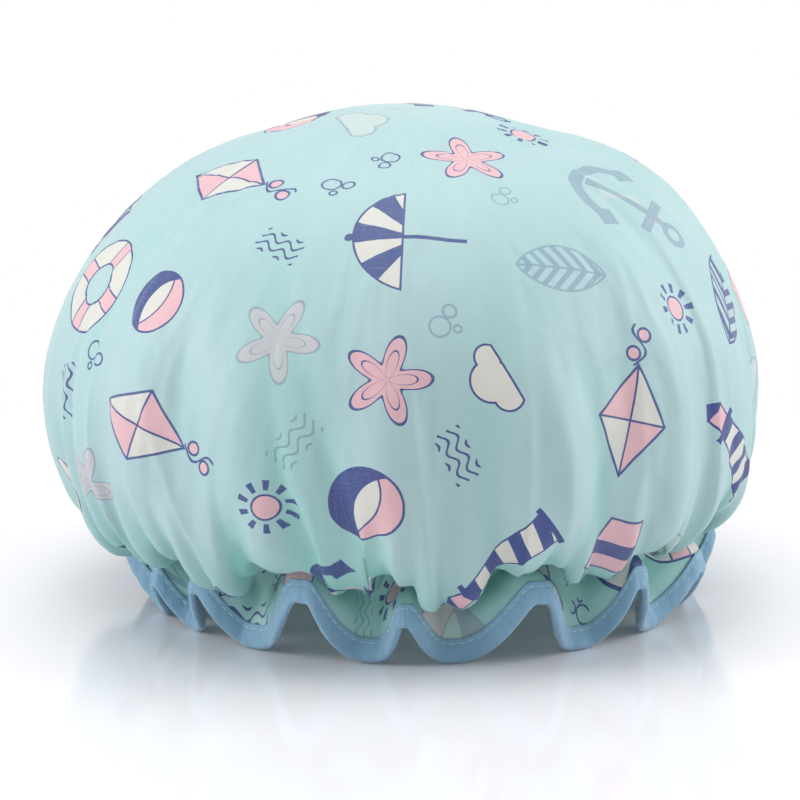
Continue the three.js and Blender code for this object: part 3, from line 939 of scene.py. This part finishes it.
# %% A pen that measures distances to simple shapes, in millimetres
class Pen:
    def __init__(self, tree, at):
        self.tree, self.at = tree, at

    def vector(self, operation, first, second=None, out="Vector"):
        node = add_node(self.tree, "ShaderNodeVectorMath", {0: first}, operation=operation)
        if second is not None:
            connect(self.tree, second, node.inputs[1])
        return node.outputs[out]

    def part(self, k):
        parts = add_node(self.tree, "ShaderNodeSeparateXYZ", {0: self.at})
        return Field(self.tree, parts.outputs[k])

    def across(self):
        return self.part(0)

    def up(self):
        return self.part(1)

    def disc(self, x, y, radius):
        away = self.vector("DISTANCE", self.at, (x, y, 0), "Value")
        return Field(self.tree, away) - radius

    def half(self, x, y, offset):
        return Field(self.tree, self.vector("DOT_PRODUCT", self.at, (x, y, 0), "Value")) - offset

    def bearing(self):
        return self.up().math("ARCTAN2", self.across())

    def block(self, x, y, half_width, half_height):
        near = self.vector("ABSOLUTE", self.vector("SUBTRACT", self.at, (x, y, 0)))
        over = Pen(self.tree, self.vector("SUBTRACT", near, (half_width, half_height, 0)))
        return most(over.across(), over.up())

    def mirrored(self):
        both = add_node(self.tree, "ShaderNodeCombineXYZ", {0: abs(self.across()), 1: self.up()})
        return Pen(self.tree, both.outputs[0])

    def turned(self, x, y, degrees):
        at = self.vector("SUBTRACT", self.at, (x, y, 0))
        node = add_node(self.tree, "ShaderNodeVectorRotate", {"Vector": at,
            "Angle": math.radians(degrees)}, rotation_type="Z_AXIS")
        return Pen(self.tree, node.outputs[0])


OUTLINE = 0.36


def inside(*distances):
    return most(*distances) < 0


def edge(distance, width=OUTLINE):
    return abs(distance) < width


def waves(value, rate):
    return (value * rate).math("SINE")


# %% The large motifs
def lighthouse(pen):
    side = pen.mirrored()
    tower = most(side.half(0.99, 0.11, 5.3), abs(pen.up() + 4) - 17)
    stripes = waves(pen.half(0.24, 1, 0), 0.62) * -1
    lamp, gallery = pen.block(0, 18, 3.3, 3), pen.block(0, 14, 6.2, 1.1)
    rock = pen.block(0, -21, 9.5, 1.1)
    roof = most(side.half(0.7, 0.7, 17.6), pen.up() * -1 + 21)
    filled = most(inside(gallery), inside(rock), inside(roof))
    navy = most(inside(tower, stripes), edge(tower), edge(lamp), filled)
    return {"navy": navy, "cream": inside(tower), "pink": inside(lamp)}


def parasol(pen):
    canopy = most(pen.disc(0, -6, 20.5), pen.up() * -1 - 1)
    ribs = (pen.up() + 6).math("ARCTAN2", pen.across())
    stripes = waves(ribs, 7.5)
    pole, knob = pen.block(0, -11, 0.75, 10), pen.disc(0, 15.8, 1.5)
    navy = most(inside(canopy, stripes), edge(canopy), inside(pole), inside(knob))
    return {"navy": navy, "cream": inside(canopy)}


def anchor(pen):
    fluke = pen.mirrored().turned(12.2, -1.5, 45).block(0, 0, 2.9, 2.9)
    bow = most(abs(pen.disc(0, 0, 12.4)) - 1.9, pen.up() + 1)
    eye = abs(pen.disc(0, 17, 3)) - 1
    shape = least(eye, pen.block(0, 2.2, 1.4, 12), pen.block(0, 9.5, 7.4, 1.5), bow, fluke)
    cord = most(abs(pen.across() + waves(pen.up(), 0.5) * 2.6), abs(pen.up() - 1) - 11) - 0.4
    return {"navy": inside(shape), "cream": edge(cord, 0.5)}


def kite(pen):
    across, up = abs(pen.across()), abs(pen.up() - 5)
    sail = (across * 0.095 + up * 0.065 - 1) * 8.6
    spars = least(across, up)
    tail = most(abs(pen.across() - waves(pen.up(), 0.55) * 2), abs(pen.up() + 16) - 5.5)
    bows = least(pen.disc(1.6, -13.5, 1.9), pen.disc(-1.5, -19, 1.9))
    sides = pen.across() * (pen.up() - 5)
    navy = most(edge(sail), inside(sail, spars - 0.3), edge(tail, 0.4), edge(bows))
    return {"navy": navy, "pink": most(inside(sail, sides), inside(bows)), "cream": inside(sail)}


# %% The medium motifs
def life_ring(pen):
    ring = abs(pen.disc(0, 0, 12)) - 4.6
    straps = least(abs(pen.across()), abs(pen.up())) - 3
    navy = most(edge(ring), inside(ring, abs(straps) - 0.3))
    return {"navy": navy, "pink": inside(ring, straps), "cream": inside(ring)}


def beach_ball(pen):
    whole, left, right = pen.disc(0, 0, 11), pen.disc(-9, 2, 13), pen.disc(9, -2, 13)
    seams = least(abs(left), abs(right)) - 0.3
    navy = most(edge(whole), inside(whole, seams), inside(whole, left * -1))
    return {"navy": navy, "pink": inside(whole, right * -1), "cream": inside(whole)}


def starfish(pen):
    arms = (pen.bearing() * 5).math("COSINE") * 4.2
    body = (pen.disc(0, 0, 9.2) - arms) * 0.72
    return {"navy": most(edge(body), edge(body + 3.2, 0.22)), "pink": inside(body)}


def bucket(pen):
    body = most(pen.mirrored().half(0.97, -0.24, 8.2), abs(pen.up() + 2) - 9)
    belt = abs(pen.up() + 1) - 2.4
    handle = most(abs(pen.disc(0, 7, 9)) - 0.5, pen.up() * -1 + 7)
    navy = most(edge(body), inside(body, belt), inside(handle))
    return {"navy": navy, "pink": inside(body)}


def palm_leaf(pen):
    leaf = most(pen.disc(10, 0, 18), pen.disc(-10, 0, 18))
    veins = waves(pen.up() - abs(pen.across()) * 0.8, 1.35) * -1 + 0.1
    rib = abs(pen.across()) - 0.4
    navy = most(edge(leaf), inside(leaf, least(veins, rib)))
    return {"navy": navy}


def ice_cream(pen):
    cone = most(pen.mirrored().half(0.93, -0.36, 5.8), pen.up() - 3)
    scoop = most(pen.disc(0, 7, 7.8), pen.up() * -1 + 2.4)
    hatch = least(abs(waves(pen.half(1, 1, 0), 0.62)), abs(waves(pen.half(1, -1, 0), 0.62))) - 0.16
    berry = pen.disc(2, 15.8, 2.2)
    navy = most(edge(cone), inside(cone, hatch), edge(scoop), inside(berry))
    return {"navy": navy, "cream": inside(cone), "pink": inside(scoop)}


# %% The small motifs
def cloud(pen):
    puffs = least(pen.disc(-6.5, -0.5, 4.8), pen.disc(0, 2, 6.8), pen.disc(7, -0.8, 4.3))
    body = most(puffs, pen.up() * -1 - 4)
    return {"navy": edge(body), "cream": inside(body)}


def sun(pen):
    disc, rays = pen.disc(0, 0, 4.2), abs(pen.disc(0, 0, 7.4)) - 1.7
    navy = most(edge(disc), inside(rays, waves(pen.bearing(), 10) * -1 + 0.35))
    return {"navy": navy, "pink": inside(disc)}


def ripples(pen):
    rows = (pen.up() - waves(pen.across(), 0.9) * 1.1) * 0.3
    lines = abs(rows.math("FRACT") - 0.5) - 0.13
    return {"navy": inside(lines, pen.block(0, 0, 8.5, 4.6))}


def bubbles(pen):
    rings = (pen.disc(-1.6, -1, 3), pen.disc(2.6, 2.6, 1.9), pen.disc(3, -3, 1.1))
    return {"navy": edge(least(*(abs(ring) for ring in rings)))}


MOTIFS = [lighthouse, parasol, anchor, kite, life_ring, beach_ball, starfish, bucket, palm_leaf,
    ice_cream, cloud, sun, ripples, bubbles]

# %% [markdown]
# ## Printed cloth
#
# The cloth is a thin, tightly woven polyester with a faint satin sheen. Its ground is pale mint.
# Threads of uneven thickness leave fine lines across it, and the ink sits a little uneven on
# them. Some light passes through, which keeps the folds clear in colour, so a Translucent shader
# takes a share of the light. Near the elastic, where the cloth lies in several layers, and in deep
# creases, its ground is painted greener: painted shade for the light that passes those layers.

# %% Ground, painted shade, weave and ink
NAVY, PINK, CREAM = linear(66, 84, 146), linear(243, 196, 203), linear(232, 230, 222)
# The third mint is painted shade, laid on near the elastic and in deep creases
MINT, DEEP_MINT, PAINTED_SHADE_MINT = linear(192, 221, 225), linear(182, 216, 217), linear(152, 216, 206)
ALONG_THREADS, ACROSS_THREADS = 60, 2600
FADED_BY, UNEVEN_INK = 0.64, 0.22

printed, tree, shader = new_material("mint cloth with seaside print")
stamp = add_node(tree, "ShaderNodeAttribute", attribute_name="stamp").outputs["Vector"]
place = place_on(tree)
flat_map = add_node(tree, "ShaderNodeUVMap", uv_map="flat_cloth").outputs[0]
code = Field(tree, add_node(tree, "ShaderNodeSeparateXYZ", {0: stamp}).outputs[2])
number = code.math("FLOOR")
strength = (code.math("FRACT") > 0.25) * -FADED_BY + 1
pen = Pen(tree, add_node(tree, "ShaderNodeVectorMath", {0: stamp, 1: (1, 1, 0)},
    operation="MULTIPLY").outputs[0])
inks = {"cream": None, "pink": None, "navy": None}
for k, draw in enumerate(MOTIFS):
    chosen = number.math("COMPARE", float(k), 0.5)
    for ink, mask in draw(pen).items():
        mine = mask * chosen
        inks[ink] = mine if inks[ink] is None else inks[ink] + mine


def stretched(tree, where, scales):
    return add_node(tree, "ShaderNodeMapping", {"Vector": where, "Scale": scales}).outputs[0]


slubs = noise(tree, stretched(tree, flat_map, (ALONG_THREADS, ACROSS_THREADS, 1)), 1.0, 1.0)
warp = noise(tree, stretched(tree, flat_map, (ACROSS_THREADS, ALONG_THREADS, 1)), 1.0, 1.0)
clouds = noise(tree, place, 28.0, 3.0)
colour = mixed(tree, clouds, MINT, DEEP_MINT)
# Painted shade: the ground is mixed towards the greener mint near the elastic and in deep creases
painted_shade = add_node(tree, "ShaderNodeAttribute", attribute_name="painted_crease_shade").outputs["Fac"]
colour = mixed(tree, painted_shade, colour, PAINTED_SHADE_MINT)
wear = (slubs + warp) * UNEVEN_INK + (1 - UNEVEN_INK)
for ink, shade in (("cream", CREAM), ("pink", PINK), ("navy", NAVY)):
    colour = mixed(tree, inks[ink] * strength * wear, colour, shade)

# %% Sheen, weave relief and light passing through
CLOTH_THROUGH = 0.22
set_plain(shader, Roughness=0.46, Specular_IOR_Level=0.4, Sheen_Weight=0.28, Sheen_Roughness=0.4)
relief = bumped(tree, 0.22, 0.0003, slubs + warp)
rumples = bumped(tree, 0.3, 0.002, noise(tree, place, 55.0, 3.0), relief)
dress(tree, shader, colour, rumples)


def let_light_through(tree, shader, colour, share):
    through = add_node(tree, "ShaderNodeBsdfTranslucent", {"Color": colour})
    blend = add_node(tree, "ShaderNodeMixShader", {0: share, 1: shader.outputs[0],
        2: through.outputs[0]})
    tree.links.new(blend.outputs[0], tree.nodes["Material Output"].inputs["Surface"])


let_light_through(tree, shader, colour, CLOTH_THROUGH)
outer.data.materials.append(printed)
print("printed cloth material:", len(tree.nodes), "nodes")

# %% [markdown]
# ## Waterproof film
#
# Inside lies the second disc, a thin frosted film. It follows the cloth a little further in, and
# it goes round the inside of the elastic, with more room at the back, where the elastic's ends
# overlap. Film takes sharper, finer crumples than cloth. The cloth's narrow creases are widened
# for the film, by the deepest of five columns, so the two never cross.

# %% Film
FILM_GAP = 0.0008
ELASTIC_ROOM, LAP_ROOM = 0.0018, 0.0014
LAP_STARTS, LAP_ENDS = (-0.25, -0.03), (0.2, 0.3)
FILM_CRUMPLE, FILM_WRINKLES = 0.0014, (16, 75)
FILM_THROUGH = 0.24

film_depth = np.full(len(fine_lengths), FILM_GAP)
in_casing = np.arange(UPPER_ROW, LOWER_ROW + 1)
film_depth[in_casing] += ELASTIC_ROOM * np.sin(np.pi * casing_share[in_casing, 0]) ** 0.5
film_push = np.min([np.roll(push, shift, 1) for shift in range(-2, 3)], 0)
film_push = np.mean([np.roll(film_push, shift, 1) for shift in range(-1, 2)], 0)
film_push -= film_depth[:, None]
film_push -= FILM_CRUMPLE * smooth(reach_up, 0.004, 0.02) * (WRINKLE_CREST - ripple(*FILM_WRINKLES))
past_back = fine_cols.angle % (2 * np.pi) - np.pi
doubled = smooth(past_back, *LAP_STARTS) * (1 - smooth(past_back, *LAP_ENDS))
film_push -= LAP_ROOM * doubled * np.sin(np.pi * casing_share) ** 0.5
film_net = fine_net + film_push[..., None] * normals_of(fine_net, top)
film = cloth_mesh("frosted_film", film_net, cloth_top - (0, 0, FILM_GAP))
lay_flat(film, fine_cols, fine_lengths)
film.data.flip_normals()
belongs(film, "waterproof_liner", "waterproof_liner")
print("film:", len(film.data.polygons), "faces")

# %% Film finish
frosted, tree, shader = new_material("frosted white film")
place = place_on(tree)
haze = noise(tree, place, 35.0, 4.0)
colour = mixed(tree, haze, linear(228, 236, 236), linear(241, 245, 245))
set_plain(shader, Roughness=0.3, Specular_IOR_Level=0.45)
crumple = add_node(tree, "ShaderNodeTexVoronoi", {"Vector": place, "Scale": 75.0,
    "Randomness": 1.0}, feature="DISTANCE_TO_EDGE")
height = Field(tree, crumple.outputs["Distance"]) + noise(tree, place, 90.0, 4.0)
dress(tree, shader, colour, bumped(tree, 0.35, 0.003, height))
let_light_through(tree, shader, colour, FILM_THROUGH)
film.data.materials.append(frosted)

# %% [markdown]
# ## Elastic
#
# A flat braided elastic runs round inside the casing. Its ends overlap by about 16 mm at the
# back. It is a strip of one section that steps inwards before it meets its own start.

# %% Elastic band
ELASTIC_OVERLAP = 0.016
LAP_CLEARANCE = 0.0003
# half of the section's points, in millimetres: (up, out)
HALF_SECTION = [(-3.0, 0.0), (-2.8, 0.4), (-1.5, 0.5), (0, 0.5), (1.5, 0.5), (2.8, 0.4)]
elastic_cols = Columns(PER_FOLD)
seam_middle = seam(elastic_cols, (UPPER_SEAM + LOWER_SEAM) / 2)
seam_middle[:, 2] -= STAND
order = np.argsort(np.mod(elastic_cols.angle - math.pi, 2 * math.pi))
path_points = seam_middle[order]
overlap = round(ELASTIC_OVERLAP / (ELASTIC_LOOP / elastic_cols.count))
path_points = np.concatenate([path_points, path_points[: overlap + 1]])
inward = -(path_points - (OPENING_OFFSET, 0, 0)) * (1, 1, 0)
inward /= np.linalg.norm(inward, axis=1, keepdims=True)
once_round = len(path_points) - overlap - 1
deeper = smooth(np.arange(len(path_points)), once_round - overlap, once_round)
depth = ELASTIC_DEPTH + (ELASTIC_WALL + LAP_CLEARANCE) * deeper
centre = path_points + inward * depth[:, None]
section = HALF_SECTION + [(-up, -out) for up, out in HALF_SECTION]
strip = np.stack([centre + inward * -m / 1000 + np.array([0, 0, t / 1000]) for t, m in section], 1)
count = len(section)
sides = np.roll(grid_faces(len(strip), count)[:, ::-1], 1, 1)
ends = [range(count)[::-1], range((len(strip) - 1) * count, len(strip) * count)]
elastic = mesh_object("braided_elastic", strip.reshape(-1, 3), [*sides, *ends])
belongs(elastic, "elastic", "elastic_band")

# %% Elastic finish
braided, tree, shader = new_material("white braided elastic")
ribs = add_node(tree, "ShaderNodeTexWave", {"Vector": place_on(tree), "Scale": 260.0,
    "Distortion": 1.5, "Detail": 1.0}, bands_direction="Z")
colour = mixed(tree, ribs.outputs["Fac"], linear(214, 214, 208), linear(243, 243, 238))
set_plain(shader, Roughness=0.85)
dress(tree, shader, colour, bumped(tree, 0.5, 0.0004, ribs.outputs["Fac"]))
elastic.data.materials.append(braided)

# %% [markdown]
# ## Binding tape
#
# The raw edges of both layers are closed in a folded satin tape. It is one strip, so it is made
# as one section carried along the edge: an outer face, a round fold and an inner face, with the
# row of stitches pressing a shallow groove into it. At the back its end laps over its start.

# %% Section of the tape, in millimetres: (down from its upper edge, out from the cloth)
TAPE_SECTION = [(0.1, 0.3), (-0.12, 0.5), (0.1, 0.72), (0.8, 0.78), (1.6, 0.6), (2.4, 0.78),
    (4.4, 0.95), (6.4, 0.92), (7.5, 0.62), (8.0, 0.1), (8.15, -0.5), (8.0, -1.1), (7.5, -1.6),
    (6.4, -1.86), (4.4, -1.86), (2.4, -1.7), (1.6, -1.54), (0.8, -1.7), (0.1, -1.66),
    (-0.12, -1.45), (0.1, -1.25), (1.2, -1.2), (6.2, -1.2), (7.2, -0.85), (7.35, -0.45),
    (7.2, -0.05), (6.2, 0.3), (1.2, 0.3)]

# %% The tape's way round the edge
LAP_HEIGHT, LAP_LENGTH = 0.0006, 0.016
OUTER_FACE = 0.0003
LOOSE_FROM, LOOSE_FULL = 0.0012, 0.004
PUCKERS, PUCKER_HEIGHT = (61, 97, 133, 171, 207, 262, 310), 0.0001
OFF_TABLE = 0.00005
TAPE_PER_FOLD = 45
tape_cols = Columns(TAPE_PER_FOLD)
upper, lower = ruffle(tape_cols, [TAPE_TOP, RUFFLE_DEPTH])


def unit(vectors):
    return vectors / np.linalg.norm(vectors, axis=-1, keepdims=True)


down = unit(lower - upper)
onward = unit(np.roll(upper + lower, -1, 0) - np.roll(upper + lower, 1, 0))
outward = unit(np.cross(down, onward))
pucker = PUCKER_HEIGHT * sum(
    rng.uniform(0.3, 1) * np.sin(n * tape_cols.angle + rng.uniform(0, 6.28)) for n in PUCKERS
)
along = np.concatenate([[0], np.linalg.norm(np.diff(lower, axis=0), axis=1).cumsum()])
tape_length = along[-1] + np.linalg.norm(lower[0] - lower[-1])
past_lap = along - along[abs(np.mod(tape_cols.angle, 2 * np.pi) - np.pi).argmin()]
lap = np.where(past_lap < 0, 0, LAP_HEIGHT * np.clip(1 - past_lap / LAP_LENGTH, 0, 1))


def tape_point(fall, out):
    """Places along the tape, at distances in metres down it and out from the cloth."""
    loose = smooth(fall, LOOSE_FROM, LOOSE_FULL) * np.sign(out)
    off = out + loose * pucker + (out > OUTER_FACE) * lap
    at = upper + down * fall + outward * off[:, None] - (0, 0, STAND)
    at[:, 2] = np.maximum(at[:, 2], OFF_TABLE)
    return at


# %% Folded tape
rings = np.stack([tape_point(t / 1000, m / 1000) for t, m in TAPE_SECTION])
print(f"lowest edge of the tape before it is set down: {(lower[:, 2].min() - STAND) * 1000:.2f} mm")
faces = grid_faces(len(TAPE_SECTION), tape_cols.count)
k = np.arange(tape_cols.count)
after, last = (k + 1) % tape_cols.count, (len(TAPE_SECTION) - 1) * tape_cols.count
faces = np.concatenate([faces, np.stack([last + k, k, after, last + after], 1)])
tape = mesh_object("folded_tape", rings.reshape(-1, 3), faces)
belongs(tape, "binding_tape", "edge_binding_tape")

# %% A map along the tape, in metres
layer = tape.data.uv_layers.new(name="along_tape")
corner = corners_of(tape.data)
ring_of, column_of = corner // tape_cols.count, corner % tape_cols.count
first_column = column_of.reshape(-1, 4).min(1) == 0
wraps = first_column & (column_of.reshape(-1, 4).max(1) == tape_cols.count - 1)
u = along[column_of] + np.where(np.repeat(wraps, 4) & (column_of == 0), tape_length, 0)
v = np.array([t for t, _ in TAPE_SECTION])[ring_of] / 1000
layer.data.foreach_set("uv", np.stack([u, v], 1).astype(np.float32).ravel())
print(f"tape: {tape_length * 1000:.0f} mm long, {len(tape.data.polygons)} faces")

# %% Tape finish
satin, tree, shader = new_material("light blue satin tape")
place = place_on(tree)
along_map = add_node(tree, "ShaderNodeUVMap", uv_map="along_tape").outputs[0]
threads = noise(tree, stretched(tree, along_map, (420, 4200, 1)), 1.0, 2.0)
cross = noise(tree, stretched(tree, along_map, (3800, 420, 1)), 1.0, 2.0)
mottle = noise(tree, place, 420.0, 3.0, 0.65)
patches = noise(tree, place, 70.0, 3.0)
colour = mixed(tree, patches, linear(134, 176, 203), linear(150, 191, 214))
colour = mixed(tree, threads * 0.3 + mottle * 0.35, colour, linear(108, 152, 184))
set_plain(shader, Roughness=0.62, Specular_IOR_Level=0.3, Sheen_Weight=0.5, Sheen_Roughness=0.45)
weave = bumped(tree, 0.5, 0.0004, threads + cross + mottle * 0.6)
soft = bumped(tree, 0.55, 0.0016, noise(tree, place, 210.0, 3.0), weave)
dress(tree, shader, colour, soft)
tape.data.materials.append(satin)

# %% [markdown]
# ## Stitches
#
# Three rows of lockstitch hold the cap together: two beside the elastic and one through the
# tape. Each row shows a line of dashes on both faces. A Geometry Nodes tree walks along a path,
# puts a small rounded dash at every step, turns it along the path and sets it half into the
# face it is sewn to.

# %% The stitch tree
def stitch_tree():
    tree = bpy.data.node_groups.new("stitches along a path", "GeometryNodeTree")
    face = tree.interface
    face.new_socket("Path", in_out="INPUT", socket_type="NodeSocketGeometry")
    for name, value in (("Pitch", 0.0033), ("Dash", 0.0026), ("Thickness", 0.00035)):
        face.new_socket(name, in_out="INPUT", socket_type="NodeSocketFloat").default_value = value
    face.new_socket("Finish", in_out="INPUT", socket_type="NodeSocketMaterial")
    face.new_socket("Stitches", in_out="OUTPUT", socket_type="NodeSocketGeometry")
    given = tree.nodes.new("NodeGroupInput")
    curve = add_node(tree, "GeometryNodeMeshToCurve", {0: given.outputs["Path"]})
    steps = add_node(tree, "GeometryNodeResampleCurve", {"Curve": curve.outputs[0],
        "Length": given.outputs["Pitch"]}, mode="LENGTH")
    out = add_node(tree, "GeometryNodeInputNamedAttribute", {"Name": "out"},
        data_type="FLOAT_VECTOR")
    tangent = tree.nodes.new("GeometryNodeInputTangent")
    first = add_node(tree, "FunctionNodeAlignRotationToVector", {"Vector": tangent.outputs[0]},
        axis="X")
    turned = add_node(tree, "FunctionNodeAlignRotationToVector", {"Rotation": first.outputs[0],
        "Vector": out.outputs[0]}, axis="Z", pivot_axis="X")
    dash = add_node(tree, "GeometryNodeMeshUVSphere", {"Segments": 8, "Rings": 5, "Radius": 0.5})
    sizes = add_node(tree, "ShaderNodeCombineXYZ", {0: given.outputs["Dash"],
        1: given.outputs["Thickness"], 2: given.outputs["Thickness"]})
    placed = add_node(tree, "GeometryNodeInstanceOnPoints", {"Points": steps.outputs[0],
        "Instance": dash.outputs[0], "Rotation": turned.outputs[0], "Scale": sizes.outputs[0]})
    real = add_node(tree, "GeometryNodeRealizeInstances", {0: placed.outputs[0]})
    smoothed = add_node(tree, "GeometryNodeSetShadeSmooth", {0: real.outputs[0]})
    finished = add_node(tree, "GeometryNodeSetMaterial", {0: smoothed.outputs[0],
        "Material": given.outputs["Finish"]})
    result = tree.nodes.new("NodeGroupOutput")
    tree.links.new(finished.outputs[0], result.inputs[0])
    return tree


STITCHES = stitch_tree()
print("stitch tree:", len(STITCHES.nodes), "nodes")

# %% A row of stitches along a path
def sew(name, points, out, finish, pitch=0.0033, dash=0.0027, thickness=0.00036):
    """A row of stitches along a closed path. out is the way off the face at each point."""
    count = len(points)
    mesh = bpy.data.meshes.new(name)
    mesh.from_pydata(points.tolist(), [(k, (k + 1) % count) for k in range(count)], [])
    mesh.attributes.new("out", "FLOAT_VECTOR", "POINT").data.foreach_set("vector", out.ravel())
    thing = bpy.data.objects.new(name, mesh)
    scene.collection.objects.link(thing)
    walker = thing.modifiers.new("stitches", "NODES")
    walker.node_group = STITCHES
    given = {"Pitch": pitch, "Dash": dash, "Thickness": thickness, "Finish": finish}
    for item in STITCHES.interface.items_tree:
        if item.name in given and item.in_out == "INPUT":
            walker[item.identifier] = given[item.name]
    seen = thing.evaluated_get(bpy.context.evaluated_depsgraph_get())
    sewn = bpy.data.meshes.new_from_object(seen)
    thing.modifiers.clear()
    thing.data = sewn
    bpy.data.meshes.remove(mesh)
    print(f"{name}: {len(sewn.polygons)} faces")
    return thing


# %% Thread finishes
def thread_finish(name, dark, light):
    material, tree, shader = new_material(name)
    twist = add_node(tree, "ShaderNodeTexWave", {"Vector": place_on(tree), "Scale": 900.0,
        "Distortion": 2.0}, bands_direction="DIAGONAL")
    colour = mixed(tree, twist.outputs["Fac"], dark, light)
    set_plain(shader, Roughness=0.6, Sheen_Weight=0.3)
    dress(tree, shader, colour, bumped(tree, 0.4, 0.0001, twist.outputs["Fac"]))
    return material


mint_thread = thread_finish("mint sewing thread", linear(150, 200, 203), linear(186, 226, 228))
blue_thread = thread_finish("pale blue sewing thread", linear(164, 199, 220), linear(206, 229, 241))

# %% Rows through the tape
STITCH_INSET = 0.0016
ON_OUTER_FACE, ON_INNER_FACE = 0.00066, -0.0016
for side, out, name, node in ((1, ON_OUTER_FACE, "stitches_tape_outside", "tape_needle_thread"),
        (-1, ON_INNER_FACE, "stitches_tape_inside", "tape_bobbin_thread")):
    row = sew(name, tape_point(STITCH_INSET, out), outward * side, blue_thread)
    belongs(row, "tape_thread", node)

# %% Rows beside the elastic
SET_OUT = 0.00008
net_normals = normals_of(net, top)
for at_row, place_name in ((SEAM_ROW, "upper"), (SEAM_ROW + CASING_ROWS, "lower")):
    for side, depth, face_name, thread in ((1, SET_OUT, "outside", "needle"),
            (-1, -FILM_GAP - SET_OUT, "inside", "bobbin")):
        points, off = net[at_row] + net_normals[at_row] * depth, side * net_normals[at_row]
        row = sew(f"stitches_{place_name}_{face_name}", points, off, mint_thread,
            pitch=0.0029, dash=0.0024, thickness=0.00034)
        belongs(row, "casing_thread", f"{place_name}_casing_{thread}_thread")
